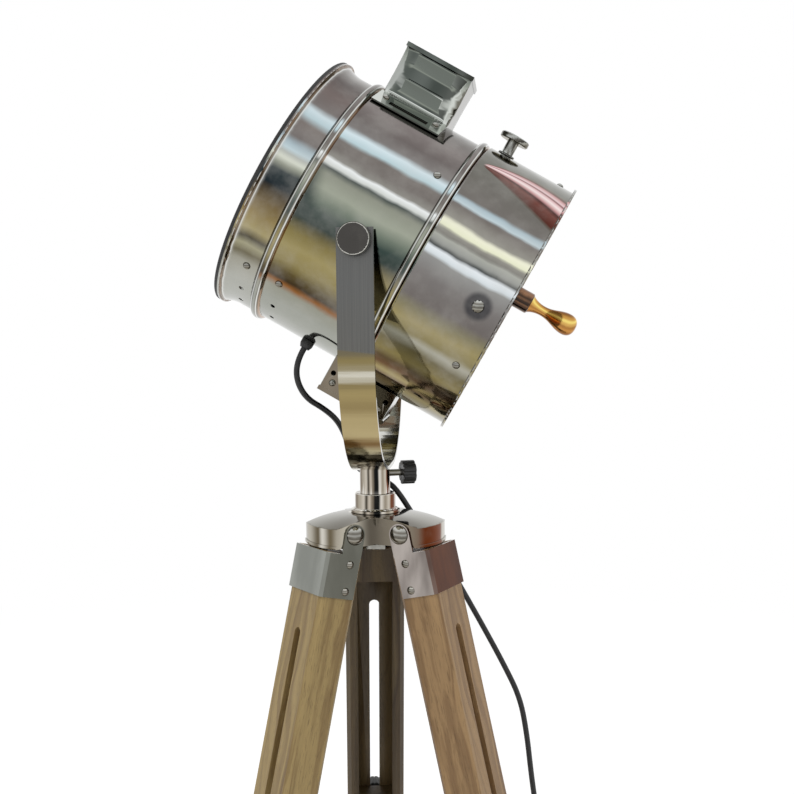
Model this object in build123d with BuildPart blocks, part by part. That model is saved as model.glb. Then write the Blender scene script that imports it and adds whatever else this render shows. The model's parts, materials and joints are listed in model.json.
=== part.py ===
from build123d import *
from math import cos, radians, sin, sqrt, tan
import os

os.makedirs("parts", exist_ok=True)

# Searchlight lamp on a wooden tripod. Millimetres, +Z up. The origin is on the floor under the stem.
# The drum's glass front looks towards -X and up, its rear and handle point towards +X and down.

# ---------------------------------------------------------------- driving sizes
# stance
hinge_height = 405.0        # leg hinges above the floor
leg_splay = 13.0            # legs from the vertical, opened against their stop
tripod_turn = 8.2           # tripod about the stem, against the head
drum_tilt = 30.0            # drum axis below the horizontal, towards its rear
pivot_above_hinge = 235.2   # tilt axis above the leg hinges
axis_rise = 10.0            # drum axis above the tilt axis

# fits
running_fit = 0.05          # radial, a turning shaft in its hole
slip_gap = 0.3              # between bodies that move past each other
seat_gap = 0.05             # radial, between curved pieces that are fixed together

# drum
sheet = 1.5
body_radius = 105.0
body_front = -60.0
body_tail = 68.0
bead_height = 4.0
bead_half_width = 4.3
front_bead_at = -55.3
rear_bead_at = 42.4
rim_radius = body_radius + 5.4
rim_front = -91.0
gasket_depth = 3.0
gasket_inner_radius = body_radius - 3.5
rim_lip = 2.0
flare_start = -72.0
sleeve_depth = 10.0
glass_depth = 3.0
glass_radius = body_radius + 0.4
ring_wire = 3.0
cover_radius = body_radius + 3.0
cover_front = 47.6
cover_lip = 2.4
cover_end = 125.0
flange_radius = cover_radius + 3.4
flange_depth = 2.0
plate_recess = 2.0
plate_depth = 1.5
ledge_width = 3.0

# light source
reflector_rim = body_radius - 8.0
reflector_hole = 21.0
reflector_depth = 86.0
reflector_sheet = 1.0
bulb_radius = 30.0
bulb_centre = -14.0
bulb_neck = 14.5
bulb_neck_end = 24.0
bulb_wall = 1.0
cap_radius = 13.2
cap_end = 50.0
holder_radius = 22.0
holder_front = 30.0
holder_end = 84.0
bracket_width = 30.0
bracket_sheet = 2.0
bracket_tab = 10.0

# vent boxes
box_side = 59.0
box_sheet = 1.2
box_lip = 0.8
box_lip_depth = 3.5
box_root = 12.0             # below the drum's crown, before the foot is cut to the drum
corner_sharp = 0.4
corner_pinch = 6.0          # each upright corner is pressed in at half its height
top_box_at = -20.5
top_box_height = 42.0
low_box_at = 50.5
low_box_height = 27.0
louvre_length = 34.0
louvre_rise = 10.5
louvre_proud = 3.6
louvre_nose = 2.0           # upright front of each hood, before it slopes back
louvre_end = 1.5            # closed ends
louvre_foot = 2.5           # solid foot of the slope
louvre_tops = (37.0, 15.5)  # above the drum's crown
skirt_angle = 24.5          # flat skirt panels touch the drum here
skirt_length = 60.4
skirt_up = 17.0
skirt_down = 12.0
skirt_slot = (34.0, 7.0)
skirt_slot_down = 3.0
skirt_screw_spread = 22.5
skirt_screw_up = 4.5
low_box_screw = 17.0        # above the drum's crown
low_box_screw_inset = 8.0
low_box_hole = 9.5
low_box_hole_inset = 5.0
vent_hole = 40.0
box_over_bead = 0.4

# rear handle
handle_rise = 13.0
collar_radius = 8.8
collar_length = 15.0
neck_radius = 4.6
grip_radius = 9.0
grip_length = 42.0
handle_screw_radius = 2.5

# cover thumb screw
thumb_at = 60.0
thumb_head_radius = 12.4
thumb_head_depth = 4.8
thumb_shank_radius = 4.8
thumb_shank_length = 11.0
thumb_thread_radius = 2.5
thumb_foot_radius = 7.0
thumb_foot_depth = 1.6
thumb_nut_across = 9.0
thumb_nut_depth = 4.0

# small screws on the drum
screw_head_radius = 3.2
screw_head_height = 2.2
screw_seat = 0.1
side_screw_at = 27.4
cover_screw_inset = 14.0
air_hole_radius = 2.2
air_rows = (-69.0, -40.0)
air_first = 148.0
air_step = 12.8
air_count = 6

# yoke
strap_width = 28.0
strap_depth = 3.5
arm_middle = body_radius + 10.0     # middle of each arm's thickness from the stem axis
strap_bend = arm_middle - 15.0
arm_above_pivot = 9.0
stud_radius = 4.0
boss_radius = 9.0
knob_radius = 12.5
knob_depth = 10.0
knob_edge = 1.2
nut_across = 13.0
nut_depth = 4.0
stud_inside = 8.0
spigot_radius = 10.0
spigot_length = 44.0
spigot_neck_radius = 4.0
spigot_head_radius = 7.0    # riveted over, above the strap
spigot_head_height = 3.0

# tripod head, heights from the leg hinges
strap_under = 50.8          # underside of the yoke strap
tube_radius = 12.7
collar_top = 29.5
collar_base = 16.7
collar_ring = 17.0
flange_ring = 20.6
dome_top = 13.2
crown_radius = 58.6
crown_lip = 1.0
crown_lip_height = 2.6
crown_rim_top = 5.6
crown_bottom = -10.0
crown_hub = 29.0
socket_foot_radius = 13.5
socket_nut_across = 34.0
socket_nut_depth = 6.0
clamp_height = 45.4
clamp_azimuth = 20.0
clamp_stud_radius = 2.8
clamp_stud_showing = 10.6
clamp_knob_radius = 10.0
clamp_knob_depth = 11.0
clamp_lobes = 6

# legs, along the leg from its hinge
hinge_radius = 36.2         # hinge from the stem axis
leg_width = 52.0
leg_depth = 33.5
leg_shift = 4.5             # leg's middle outside the hinge line
leg_edge = 3.6
leg_top = 16.0
leg_end = 352.0
channel_width = 31.0
channel_depth = 22.0
channel_top = 54.0
slot_width = 9.0
slot_top = 82.0
slot_end = 334.0
ferrule_sheet = 1.5
ferrule_top = 16.0
ferrule_end = 52.0
ear_radius = 9.0
lug_gap = 0.4               # lug to each ear
hinge_bolt_radius = 4.0
hinge_head_radius = 8.0
hinge_head_height = 5.0
rivet_places = (24.0, 46.0)
rivet_head_radius = 3.4
rivet_head_height = 2.0
rivet_shank_radius = 1.6
rivet_shank_length = 7.0
lower_top = 275.0
lower_end = 402.0
lower_gap = 0.3
lower_thickness = 21.3
lock_at = 292.0
lock_bolt_radius = 3.0
lock_washer_radius = 10.0
lock_washer_depth = 1.4
lock_knob_radius = 11.0
lock_knob_depth = 11.0
lock_knob_grooves = 16
foot_wall = 2.0
foot_cover = 14.0
foot_reach = 440.0          # past the floor before the foot is cut level

# mains lead
cord_diameter = 5.0
gland_at = -5.5
gland_angle = 167.0
gland_radius = 5.4
gland_length = 7.0
gland_taper = 3.4
switch_length = 62.0
switch_width = 26.0
switch_height = 19.0
rocker_length = 18.0
rocker_width = 11.0
rocker_proud = 2.6
switch_boot_radius = 4.6
switch_boot_length = 12.0
switch_entry = 8.0          # lead's height where it meets the switch
rocker_pin_radius = 1.2
rocker_pin_height = 12.5
rocker_lean = 8.0           # degrees the rocker leans when off
coil_half_turns = 5         # in each of two layers
coil_middle_radius = 27.5
coil_pitch = 6.4            # turn to turn
coil_place = (57.0, 45.0)   # the coil's middle from the stem's axis
switch_place = (99.0, 157.0)
coil_rise = 6.1             # layer to layer
plug_width = 26.0
plug_thickness = 16.8
plug_length = 36.0
plug_boot_radius = 3.1
plug_boot_wide = 5.0
plug_boot_length = 22.0
pin_radius = 2.4
pin_spacing = 19.0
pin_length = 19.0


# ---------------------------------------------------------------- places
tilt = radians(drum_tilt)
along = Vector(cos(tilt), 0, -sin(tilt))        # drum axis, towards its rear
upward = Vector(sin(tilt), 0, cos(tilt))        # out of the drum's top
across = Vector(0, 1, 0)
pivot_height = hinge_height + pivot_above_hinge
pivot = Vector(0, 0, pivot_height)
drum_centre = pivot + upward * axis_rise
drum_axis = Axis(drum_centre, along)
profile_plane = Plane(origin=drum_centre, x_dir=along, z_dir=(0, -1, 0))   # x along, y outwards
body_inner = body_radius - sheet
cover_inner = cover_radius - sheet


def disc_plane(place, rise=0.0):
    """Plane across the drum at a place along its axis, facing the rear."""
    return Plane(origin=drum_centre + along * place + upward * rise, x_dir=across, z_dir=along)


def radial_plane(place, angle, radius):
    """Plane touching the drum, facing outwards, at an angle from its top towards -Y."""
    turn = radians(angle)
    outwards = upward * cos(turn) - across * sin(turn)
    return Plane(origin=drum_centre + along * place + outwards * radius, x_dir=along, z_dir=outwards)


def pivot_plane(side, distance):
    """Plane across the tilt axis, facing outwards on side -1 or 1."""
    return Plane(origin=pivot + across * (side * distance), x_dir=(1, 0, 0), z_dir=(0, side, 0))


def keep(builder, name):
    """Label a finished sub-part and write it."""
    builder.part.label = name
    export_step(builder.part, f"parts/{name}.step")


def turned(points):
    """Closed outline of straight sides for a turned piece, in the sketch that is open."""
    Polygon(*points, align=None)


def dome_head(spot, way, radius, height):
    """Shallow domed head standing on a spot and pointing its way, added to the piece being built."""
    aside = Plane(origin=spot, z_dir=way).x_dir
    with BuildSketch(Plane(origin=spot, x_dir=aside, z_dir=aside.cross(way))) as outline:
        with BuildLine():
            Line((0, 0), (radius, 0))
            RadiusArc((radius, 0), (0, height), -(radius ** 2 + height ** 2) / (2 * height))
            Line((0, height), (0, 0))
        make_face()
    revolve(outline.sketch, axis=Axis(spot, way))


# ---------------------------------------------------------------- drum
with BuildPart() as drum_body:
    with BuildSketch(profile_plane):
        with BuildLine():
            front_a = front_bead_at - bead_half_width
            front_b = front_bead_at + bead_half_width
            rear_a = rear_bead_at - bead_half_width
            rear_b = rear_bead_at + bead_half_width
            bead_crest = body_radius + bead_height
            Line((body_front, body_inner), (body_front, body_radius))
            Line((body_front, body_radius), (front_a, body_radius))
            ThreePointArc((front_a, body_radius), (front_bead_at, bead_crest), (front_b, body_radius))
            Line((front_b, body_radius), (rear_a, body_radius))
            ThreePointArc((rear_a, body_radius), (rear_bead_at, bead_crest), (rear_b, body_radius))
            Line((rear_b, body_radius), (body_tail, body_radius))
            Line((body_tail, body_radius), (body_tail, body_inner))
            Line((body_tail, body_inner), (rear_b - sheet, body_inner))
            ThreePointArc((rear_b - sheet, body_inner), (rear_bead_at, body_inner + bead_height),
                          (rear_a + sheet, body_inner))
            Line((rear_a + sheet, body_inner), (front_b - sheet, body_inner))
            ThreePointArc((front_b - sheet, body_inner), (front_bead_at, body_inner + bead_height),
                          (front_a + sheet, body_inner))
            Line((front_a + sheet, body_inner), (body_front, body_inner))
        make_face()
    revolve(axis=drum_axis)
    # opening under each vent box, stud holes on the tilt axis, thumb screw hole, gland hole
    with BuildSketch(radial_plane(top_box_at, 0, body_inner - sheet)):
        Circle(vent_hole / 2)
    extrude(amount=sheet * 4, mode=Mode.SUBTRACT)
    with BuildSketch(radial_plane(rear_a - sheet * 2 - vent_hole / 4, 180, body_inner - sheet)):
        Circle(vent_hole / 4)
    extrude(amount=sheet * 4, mode=Mode.SUBTRACT)
    for side in (-1, 1):
        with BuildSketch(pivot_plane(side, body_inner - 2 * sheet)):
            Circle(stud_radius + running_fit)
        extrude(amount=sheet * 6, mode=Mode.SUBTRACT)
    with BuildSketch(radial_plane(thumb_at, 0, body_inner - sheet)):
        Circle(thumb_thread_radius + running_fit)
    extrude(amount=sheet * 3, mode=Mode.SUBTRACT)
    with BuildSketch(radial_plane(gland_at, gland_angle, body_inner - sheet)):
        Circle(gland_taper + seat_gap)
    extrude(amount=sheet * 3, mode=Mode.SUBTRACT)
    for place in range(air_count):
        with BuildSketch(radial_plane(air_rows[1], air_first + air_step * place, body_inner - sheet)):
            Circle(air_hole_radius)
        extrude(amount=sheet * 3, mode=Mode.SUBTRACT)
keep(drum_body, "drum_body")

with BuildPart() as front_ring:
    lip_back = rim_front + gasket_depth + rim_lip
    with BuildSketch(profile_plane):
        with BuildLine():
            Line((body_front, body_inner), (body_front, body_radius))
            Line((body_front, body_radius), (flare_start, body_radius))
            ThreePointArc((flare_start, body_radius), ((flare_start + lip_back) / 2, body_radius + 0.9),
                          (lip_back, rim_radius - 1.6))
            Line((lip_back, rim_radius - 1.6), (lip_back, rim_radius))
            Line((lip_back, rim_radius), (lip_back - rim_lip, rim_radius))
            Line((lip_back - rim_lip, rim_radius), (lip_back - rim_lip, glass_radius + seat_gap))
            Line((lip_back - rim_lip, glass_radius + seat_gap), (lip_back + glass_depth, glass_radius + seat_gap))
            Line((lip_back + glass_depth, glass_radius + seat_gap), (flare_start + 2, body_inner))
            Line((flare_start + 2, body_inner), (body_front, body_inner))
        make_face()
    revolve(axis=drum_axis)
    # sleeve that slides inside the drum body
    sleeve_outer = body_inner - seat_gap
    with BuildSketch(profile_plane):
        turned([(body_front - sheet * 2, body_inner + sheet / 2), (body_front, body_inner + sheet / 2),
                (body_front, sleeve_outer), (body_front + sleeve_depth, sleeve_outer),
                (body_front + sleeve_depth, sleeve_outer - sheet), (body_front - sheet * 2, sleeve_outer - sheet)])
    revolve(axis=drum_axis)
    for place in range(air_count):
        with BuildSketch(radial_plane(air_rows[0], air_first + air_step * place, body_inner - sheet * 2)):
            Circle(air_hole_radius)
        extrude(amount=sheet * 5, mode=Mode.SUBTRACT)
keep(front_ring, "front_ring")

with BuildPart() as lens_gasket:
    with BuildSketch(profile_plane):
        turned([(rim_front, gasket_inner_radius), (rim_front, rim_radius - 0.8), (rim_front + 0.8, rim_radius),
                (rim_front + gasket_depth, rim_radius), (rim_front + gasket_depth, gasket_inner_radius)])
    revolve(axis=drum_axis)
keep(lens_gasket, "lens_gasket")

glass_front = rim_front + gasket_depth
with BuildPart() as glass_lens:
    with BuildSketch(disc_plane(glass_front)):
        Circle(glass_radius)
    extrude(amount=glass_depth)
keep(glass_lens, "glass_lens")

ring_place = glass_front + glass_depth + ring_wire / 2
with BuildPart() as retaining_ring:
    with BuildSketch(profile_plane):
        with Locations((ring_place, body_inner - seat_gap - ring_wire / 2)):
            Circle(ring_wire / 2)
    revolve(axis=drum_axis, revolution_arc=350)
keep(retaining_ring, "retaining_ring")

with BuildPart() as rear_cover:
    ledge_at = cover_end - plate_recess - plate_depth
    with BuildSketch(profile_plane):
        turned([(cover_front, body_radius + seat_gap), (cover_front, cover_radius - 0.5), (cover_front + 0.5, cover_radius),
                (cover_end - flange_depth, cover_radius), (cover_end - flange_depth, flange_radius),
                (cover_end, flange_radius), (cover_end, cover_inner), (ledge_at, cover_inner),
                (ledge_at, cover_inner - ledge_width), (ledge_at - sheet, cover_inner - ledge_width),
                (ledge_at - sheet, cover_inner), (cover_front + cover_lip, cover_inner),
                (cover_front + cover_lip, body_radius + seat_gap)])
    revolve(axis=drum_axis)
    with BuildSketch(radial_plane(thumb_at, 0, cover_inner - sheet)):
        Circle(thumb_thread_radius + running_fit)
    extrude(amount=sheet * 3, mode=Mode.SUBTRACT)
keep(rear_cover, "rear_cover")

with BuildPart() as rear_plate:
    with BuildSketch(disc_plane(ledge_at)):
        Circle(cover_inner - seat_gap)
    extrude(amount=plate_depth)
    with BuildSketch(disc_plane(ledge_at, handle_rise)):
        Circle(handle_screw_radius + seat_gap)
    extrude(amount=plate_depth, mode=Mode.SUBTRACT)
keep(rear_plate, "rear_plate")

# ---------------------------------------------------------------- light source
reflector_front = body_front + sleeve_depth
reflector_back = reflector_front + reflector_depth
with BuildPart() as reflector:
    bowl_mid = (reflector_front + reflector_depth * 0.42, reflector_rim * 0.735)
    with BuildSketch(profile_plane):
        with BuildLine():
            rim_edge = body_inner - seat_gap
            inner_mid = (bowl_mid[0] - reflector_sheet * 0.75, bowl_mid[1] - reflector_sheet * 0.75)
            Line((reflector_front, rim_edge), (reflector_front + reflector_sheet, rim_edge))
            Line((reflector_front + reflector_sheet, rim_edge), (reflector_front + reflector_sheet, reflector_rim))
            ThreePointArc((reflector_front + reflector_sheet, reflector_rim), bowl_mid,
                          (reflector_back, reflector_hole + reflector_sheet * 2))
            Line((reflector_back, reflector_hole + reflector_sheet * 2), (reflector_back, reflector_hole))
            Line((reflector_back, reflector_hole), (reflector_back - reflector_sheet, reflector_hole))
            ThreePointArc((reflector_back - reflector_sheet, reflector_hole), inner_mid,
                          (reflector_front, reflector_rim - reflector_sheet))
            Line((reflector_front, reflector_rim - reflector_sheet), (reflector_front, rim_edge))
        make_face()
    revolve(axis=drum_axis)
keep(reflector, "reflector")


def bulb_outline(shrink):
    """Half outline of the bulb's glass, taken in by its wall."""
    big = bulb_radius - shrink
    neck = bulb_neck - shrink
    join = bulb_centre + big * 0.8
    with BuildSketch(profile_plane) as outline:
        with BuildLine():
            Line((bulb_neck_end, 0), (bulb_centre - big, 0))
            ThreePointArc((bulb_centre - big, 0), (bulb_centre - big * 0.28, big * 0.96), (join, big * 0.6))
            Line((join, big * 0.6), (bulb_neck_end, neck))
            Line((bulb_neck_end, neck), (bulb_neck_end, 0))
        make_face()
    return outline.sketch


with BuildPart() as bulb_glass:
    revolve(bulb_outline(0), axis=drum_axis)
    revolve(bulb_outline(bulb_wall), axis=drum_axis, mode=Mode.SUBTRACT)
keep(bulb_glass, "bulb_glass")

with BuildPart() as bulb_cap:
    with BuildSketch(profile_plane):
        turned([(bulb_neck_end, 0), (bulb_neck_end, cap_radius), (cap_end - 6, cap_radius),
                (cap_end - 2, cap_radius / 2), (cap_end, cap_radius / 2), (cap_end, 0)])
    revolve(axis=drum_axis)
keep(bulb_cap, "bulb_cap")

with BuildPart() as lamp_holder:
    with BuildSketch(profile_plane):
        bore = cap_radius + seat_gap
        turned([(holder_front, bore), (holder_front, reflector_hole - seat_gap * 4),
                (reflector_back + seat_gap * 2, reflector_hole - seat_gap * 4),
                (reflector_back + seat_gap * 2, holder_radius), (holder_end, holder_radius), (holder_end, 0),
                (cap_end, 0), (cap_end, bore)])
    revolve(axis=drum_axis)
keep(lamp_holder, "lamp_holder")

with BuildPart() as holder_bracket:
    half_span = sqrt((cover_inner - seat_gap) ** 2 - (bracket_width / 2) ** 2)
    with BuildSketch(disc_plane(holder_end)):
        Rectangle(2 * half_span, bracket_width)
    extrude(amount=bracket_sheet)
    with BuildSketch(disc_plane(holder_end)):
        with Locations((half_span - bracket_sheet / 2, 0), (-half_span + bracket_sheet / 2, 0)):
            Rectangle(bracket_sheet, bracket_width)
    extrude(amount=bracket_tab)
keep(holder_bracket, "holder_bracket")


# ---------------------------------------------------------------- vent boxes
def cut_square(side, cut):
    """Square with its corners cut off, in the sketch that is open."""
    wide = side / 2
    short = wide - cut
    Polygon((wide, -short), (wide, short), (short, wide), (-short, wide),
            (-wide, short), (-wide, -short), (-short, -wide), (short, -wide), align=None)


def pinched_block(level, top, side, pinch):
    """Square block whose upright corners are pressed in at half height."""
    half_way = top / 2
    for rise, cut in ((-box_root, corner_sharp), (half_way, max(pinch, corner_sharp)), (top, corner_sharp)):
        with BuildSketch(level(rise)) as section:
            cut_square(side, cut)
        yield section.sketch


def vent_box(place, angle, height, pinch, name):
    """Sheet box on the drum, closed at its outer end by a lipped cap, with its foot cut to the drum."""
    def level(rise):
        return radial_plane(place, angle, body_radius + rise)

    with BuildPart() as box:
        loft(list(pinched_block(level, height, box_side, pinch)))
        with BuildSketch(level(height - box_lip_depth)):
            Rectangle(box_side + 2 * box_lip, box_side + 2 * box_lip)
        extrude(amount=box_lip_depth)
        if pinch > 0:
            for flank in (-1, 1):
                skirt = radial_plane(place, flank * skirt_angle, body_radius + slip_gap)
                with BuildSketch(skirt):
                    with Locations((0, flank * (skirt_up - skirt_down) / 2)):
                        Rectangle(skirt_length, skirt_up + skirt_down)
                extrude(amount=box_sheet)
        loft(list(pinched_block(level, height - box_sheet, box_side - 2 * box_sheet, pinch)), mode=Mode.SUBTRACT)
        if pinch > 0:
            for flank in (-1, 1):
                # hoods open along their upper edge, with closed ends
                fall = -flank
                for top in louvre_tops:
                    edge = level(top).origin + across * (flank * box_side / 2) - along * (louvre_length / 2)
                    hood = Plane(origin=edge, x_dir=across * flank, z_dir=along)
                    nose = louvre_proud - box_lip
                    with BuildSketch(hood):
                        Polygon((-box_sheet, 0), (louvre_proud, 0), (louvre_proud, fall * louvre_nose),
                                (0, fall * louvre_rise), (-box_sheet, fall * louvre_rise), align=None)
                    extrude(amount=louvre_length)
                    with BuildSketch(hood.offset(louvre_end)):
                        Polygon((-2 * box_sheet, -fall), (nose, -fall), (nose, fall * louvre_nose * 0.8),
                                (0, fall * (louvre_rise - louvre_foot)),
                                (-2 * box_sheet, fall * (louvre_rise - louvre_foot)), align=None)
                    extrude(amount=louvre_length - 2 * louvre_end, mode=Mode.SUBTRACT)
                skirt = radial_plane(place, flank * skirt_angle, body_radius + slip_gap)
                with BuildSketch(skirt):
                    with Locations((0, -flank * skirt_slot_down)):
                        Rectangle(*skirt_slot)
                extrude(amount=box_sheet, mode=Mode.SUBTRACT)
        else:
            with BuildSketch(Plane(origin=level(low_box_hole).origin, x_dir=along, z_dir=across)):
                with Locations((low_box_hole_inset - box_side / 2, 0), (box_side / 2 - low_box_hole_inset, 0)):
                    Circle(air_hole_radius)
            extrude(amount=box_side, both=True, mode=Mode.SUBTRACT)
        # foot cut to the drum, and past the rear bead where the box stands on it
        with BuildSketch(disc_plane(-150)):
            Circle(body_radius + seat_gap)
        extrude(amount=300, mode=Mode.SUBTRACT)
        if place + box_side / 2 > rear_a:
            with BuildSketch(disc_plane(rear_a - 1)):
                Circle(body_radius + bead_height + box_over_bead)
            extrude(amount=100, mode=Mode.SUBTRACT)
    keep(box, name)


vent_box(top_box_at, 0, top_box_height, corner_pinch, "vent_box_top")
vent_box(low_box_at, 180, low_box_height, 0, "vent_box_bottom")


# ---------------------------------------------------------------- rear handle
handle_plane = Plane(origin=drum_centre + upward * handle_rise, x_dir=along, z_dir=(0, -1, 0))
handle_axis = Axis(drum_centre + upward * handle_rise, along)
handle_start = ledge_at + plate_depth
with BuildPart() as handle_collar:
    with BuildSketch(handle_plane):
        turned([(handle_start, handle_screw_radius + seat_gap), (handle_start, collar_radius),
                (handle_start + collar_length - 1, collar_radius), (handle_start + collar_length, collar_radius - 1),
                (handle_start + collar_length, handle_screw_radius + seat_gap)])
    revolve(axis=handle_axis)
keep(handle_collar, "handle_collar")

grip_start = handle_start + collar_length
with BuildPart() as handle_grip:
    with BuildSketch(handle_plane):
        with BuildLine():
            neck_at = grip_start + grip_length * 0.38
            bulb_at = grip_start + grip_length * 0.76
            Line((grip_start, 0), (grip_start, collar_radius - 1.4))
            Spline((grip_start, collar_radius - 1.4), (neck_at, neck_radius), (bulb_at, grip_radius),
                   (grip_start + grip_length, 0), tangents=((1, -0.7), (0, -1)))
            Line((grip_start + grip_length, 0), (grip_start, 0))
        make_face()
    revolve(axis=handle_axis)
    with BuildSketch(disc_plane(grip_start, handle_rise)):
        Circle(handle_screw_radius + seat_gap)
    extrude(amount=10, mode=Mode.SUBTRACT)
keep(handle_grip, "handle_grip")

with BuildPart() as handle_screw:
    with BuildSketch(disc_plane(ledge_at - 3, handle_rise)):
        Circle(handle_screw_radius * 2)
    extrude(amount=3)
    with BuildSketch(disc_plane(ledge_at - 3, handle_rise)):
        Circle(handle_screw_radius)
    extrude(amount=3 + plate_depth + collar_length + 8)
keep(handle_screw, "handle_screw")

# ---------------------------------------------------------------- cover thumb screw
thumb_plane = radial_plane(thumb_at, 0, cover_radius)
thumb_axis = Axis(thumb_plane.origin, upward)
thumb_profile = Plane(origin=thumb_plane.origin, x_dir=along, z_dir=(0, -1, 0))
with BuildPart() as cover_thumb_screw:
    shank_foot = slip_gap + thumb_foot_depth
    shank_top = shank_foot + thumb_shank_length
    thread_end = cover_radius - body_inner + thumb_nut_depth + 1.0
    with BuildSketch(thumb_profile):
        turned([(0, -thread_end), (thumb_thread_radius, -thread_end), (thumb_thread_radius, slip_gap),
                (thumb_foot_radius, slip_gap), (thumb_foot_radius, shank_foot), (thumb_shank_radius, shank_foot),
                (thumb_shank_radius, shank_top), (thumb_head_radius - 0.8, shank_top),
                (thumb_head_radius, shank_top + 0.8), (thumb_head_radius, shank_top + thumb_head_depth - 0.8),
                (thumb_head_radius - 0.8, shank_top + thumb_head_depth), (0, shank_top + thumb_head_depth)])
    revolve(axis=thumb_axis)
keep(cover_thumb_screw, "cover_thumb_screw")

with BuildPart() as thumb_nut:
    nut_face = sqrt(body_inner ** 2 - (thumb_nut_across * 0.58) ** 2) - seat_gap
    with BuildSketch(radial_plane(thumb_at, 0, nut_face)):
        RegularPolygon(thumb_nut_across / 2, 6, major_radius=False)
        Circle(thumb_thread_radius + running_fit, mode=Mode.SUBTRACT)
    extrude(amount=-thumb_nut_depth)
keep(thumb_nut, "thumb_nut")


# ---------------------------------------------------------------- small screws on the head
def dome_screw(place, angle, radius, head=screw_head_radius):
    """Domed screw whose head sits on a surface at a radius of the drum."""
    seat = radial_plane(place, angle, radius)
    dome_head(seat.origin, seat.z_dir, head, screw_head_height)


with BuildPart() as drum_screws:
    for angle in (1.0, 121.0, 241.0):
        dome_screw(cover_end - cover_screw_inset, angle, cover_radius + screw_seat)
    dome_screw(cover_end - cover_screw_inset * 1.5, 94.6, cover_radius + screw_seat, screw_head_radius * 1.5)
    for angle in (131.5, -131.5):
        dome_screw(air_rows[0], angle, body_radius + screw_seat * 2)
        dome_screw(air_rows[1], angle, body_radius + screw_seat)
    for angle in (53.6, -53.6):
        dome_screw(side_screw_at, angle, body_radius + screw_seat)
    for flank in (-1, 1):
        skirt = radial_plane(top_box_at, flank * skirt_angle, body_radius + slip_gap + box_sheet + screw_seat)
        for end in (-1, 1):
            spot = skirt.origin + along * (end * skirt_screw_spread) + skirt.y_dir * (flank * skirt_screw_up)
            dome_head(spot, skirt.z_dir, screw_head_radius * 0.9, screw_head_height)
            spot = (drum_centre + along * (low_box_at + end * (box_side / 2 - low_box_screw_inset))
                    - upward * (body_radius + low_box_screw) + across * (flank * (box_side / 2 + screw_seat)))
            dome_head(spot, across * flank, screw_head_radius * 0.9, screw_head_height)
keep(drum_screws, "drum_screws")

# ---------------------------------------------------------------- cable gland
gland_seat = radial_plane(gland_at, gland_angle, body_radius)
gland_out = gland_seat.z_dir
gland_mouth = gland_seat.origin + gland_out * gland_length
gland_profile = Plane(origin=gland_seat.origin, x_dir=gland_seat.x_dir, z_dir=gland_seat.x_dir.cross(gland_out))
with BuildPart() as cable_gland:
    with BuildSketch(gland_profile):
        inner = cord_diameter / 2 + seat_gap
        turned([(inner, -sheet * 2), (gland_taper, -sheet * 2), (gland_taper, 0.15), (gland_radius, 0.15),
                (gland_radius, gland_length * 0.55), (gland_taper + 0.6, gland_length), (inner, gland_length)])
    revolve(axis=Axis(gland_seat.origin, gland_out))
keep(cable_gland, "cable_gland")

# ---------------------------------------------------------------- tilt pivots
arm_inner = arm_middle - strap_depth / 2
arm_outer = arm_middle + strap_depth / 2
with BuildPart() as pivot_bosses:
    for side in (-1, 1):
        with BuildSketch(pivot_plane(side, body_radius / 2)):
            Circle(boss_radius)
            Circle(stud_radius + running_fit, mode=Mode.SUBTRACT)
        extrude(amount=arm_inner - slip_gap - body_radius / 2)
    with BuildSketch(disc_plane(-2 * boss_radius)):
        Circle(body_radius + seat_gap)
    extrude(amount=4 * boss_radius, mode=Mode.SUBTRACT)
keep(pivot_bosses, "pivot_bosses")

for side, name in ((-1, "near"), (1, "far")):
    with BuildPart() as tilt_knob:
        knob_start = arm_outer + slip_gap
        with BuildSketch(pivot_plane(side, knob_start)):
            Circle(knob_radius)
        extrude(amount=knob_depth)
        chamfer(tilt_knob.edges().filter_by(GeomType.CIRCLE).sort_by(Axis.Y)[0 if side < 0 else -1], knob_edge)
        with BuildSketch(pivot_plane(side, body_inner - stud_inside)):
            Circle(stud_radius)
        extrude(amount=knob_start - body_inner + stud_inside)
    keep(tilt_knob, f"tilt_knob_{name}")

with BuildPart() as pivot_nuts:
    nut_place = sqrt(body_inner ** 2 - (axis_rise + nut_across * 0.58) ** 2) - seat_gap
    for side in (-1, 1):
        with BuildSketch(pivot_plane(side, nut_place)):
            RegularPolygon(nut_across / 2, 6, major_radius=False)
            Circle(stud_radius + running_fit, mode=Mode.SUBTRACT)
        extrude(amount=-nut_depth)
keep(pivot_nuts, "pivot_nuts")

# ---------------------------------------------------------------- yoke
strap_bottom = hinge_height + strap_under
strap_floor = strap_bottom + strap_depth
with BuildPart() as yoke_strap:
    arm_top = pivot_height + arm_above_pivot
    with BuildSketch(Plane.YZ.offset(-strap_width / 2)):
        with BuildLine():
            outer = FilletPolyline((-arm_outer, arm_top), (-arm_outer, strap_bottom), (arm_outer, strap_bottom),
                                   (arm_outer, arm_top), radius=strap_bend + strap_depth / 2)
            inner_line = FilletPolyline((-arm_inner, arm_top), (-arm_inner, strap_floor), (arm_inner, strap_floor),
                                        (arm_inner, arm_top), radius=strap_bend - strap_depth / 2)
            Line(outer @ 0, inner_line @ 0)
            Line(outer @ 1, inner_line @ 1)
        make_face()
    extrude(amount=strap_width)
    for side in (-1, 1):
        with BuildSketch(pivot_plane(side, arm_inner - 1)):
            Circle(stud_radius + running_fit)
        extrude(amount=strap_depth + 2, mode=Mode.SUBTRACT)
    with BuildSketch(Plane.XY.offset(strap_bottom - 1)):
        Circle(spigot_neck_radius + seat_gap)
    extrude(amount=strap_depth + 2, mode=Mode.SUBTRACT)
keep(yoke_strap, "yoke_strap")

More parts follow.
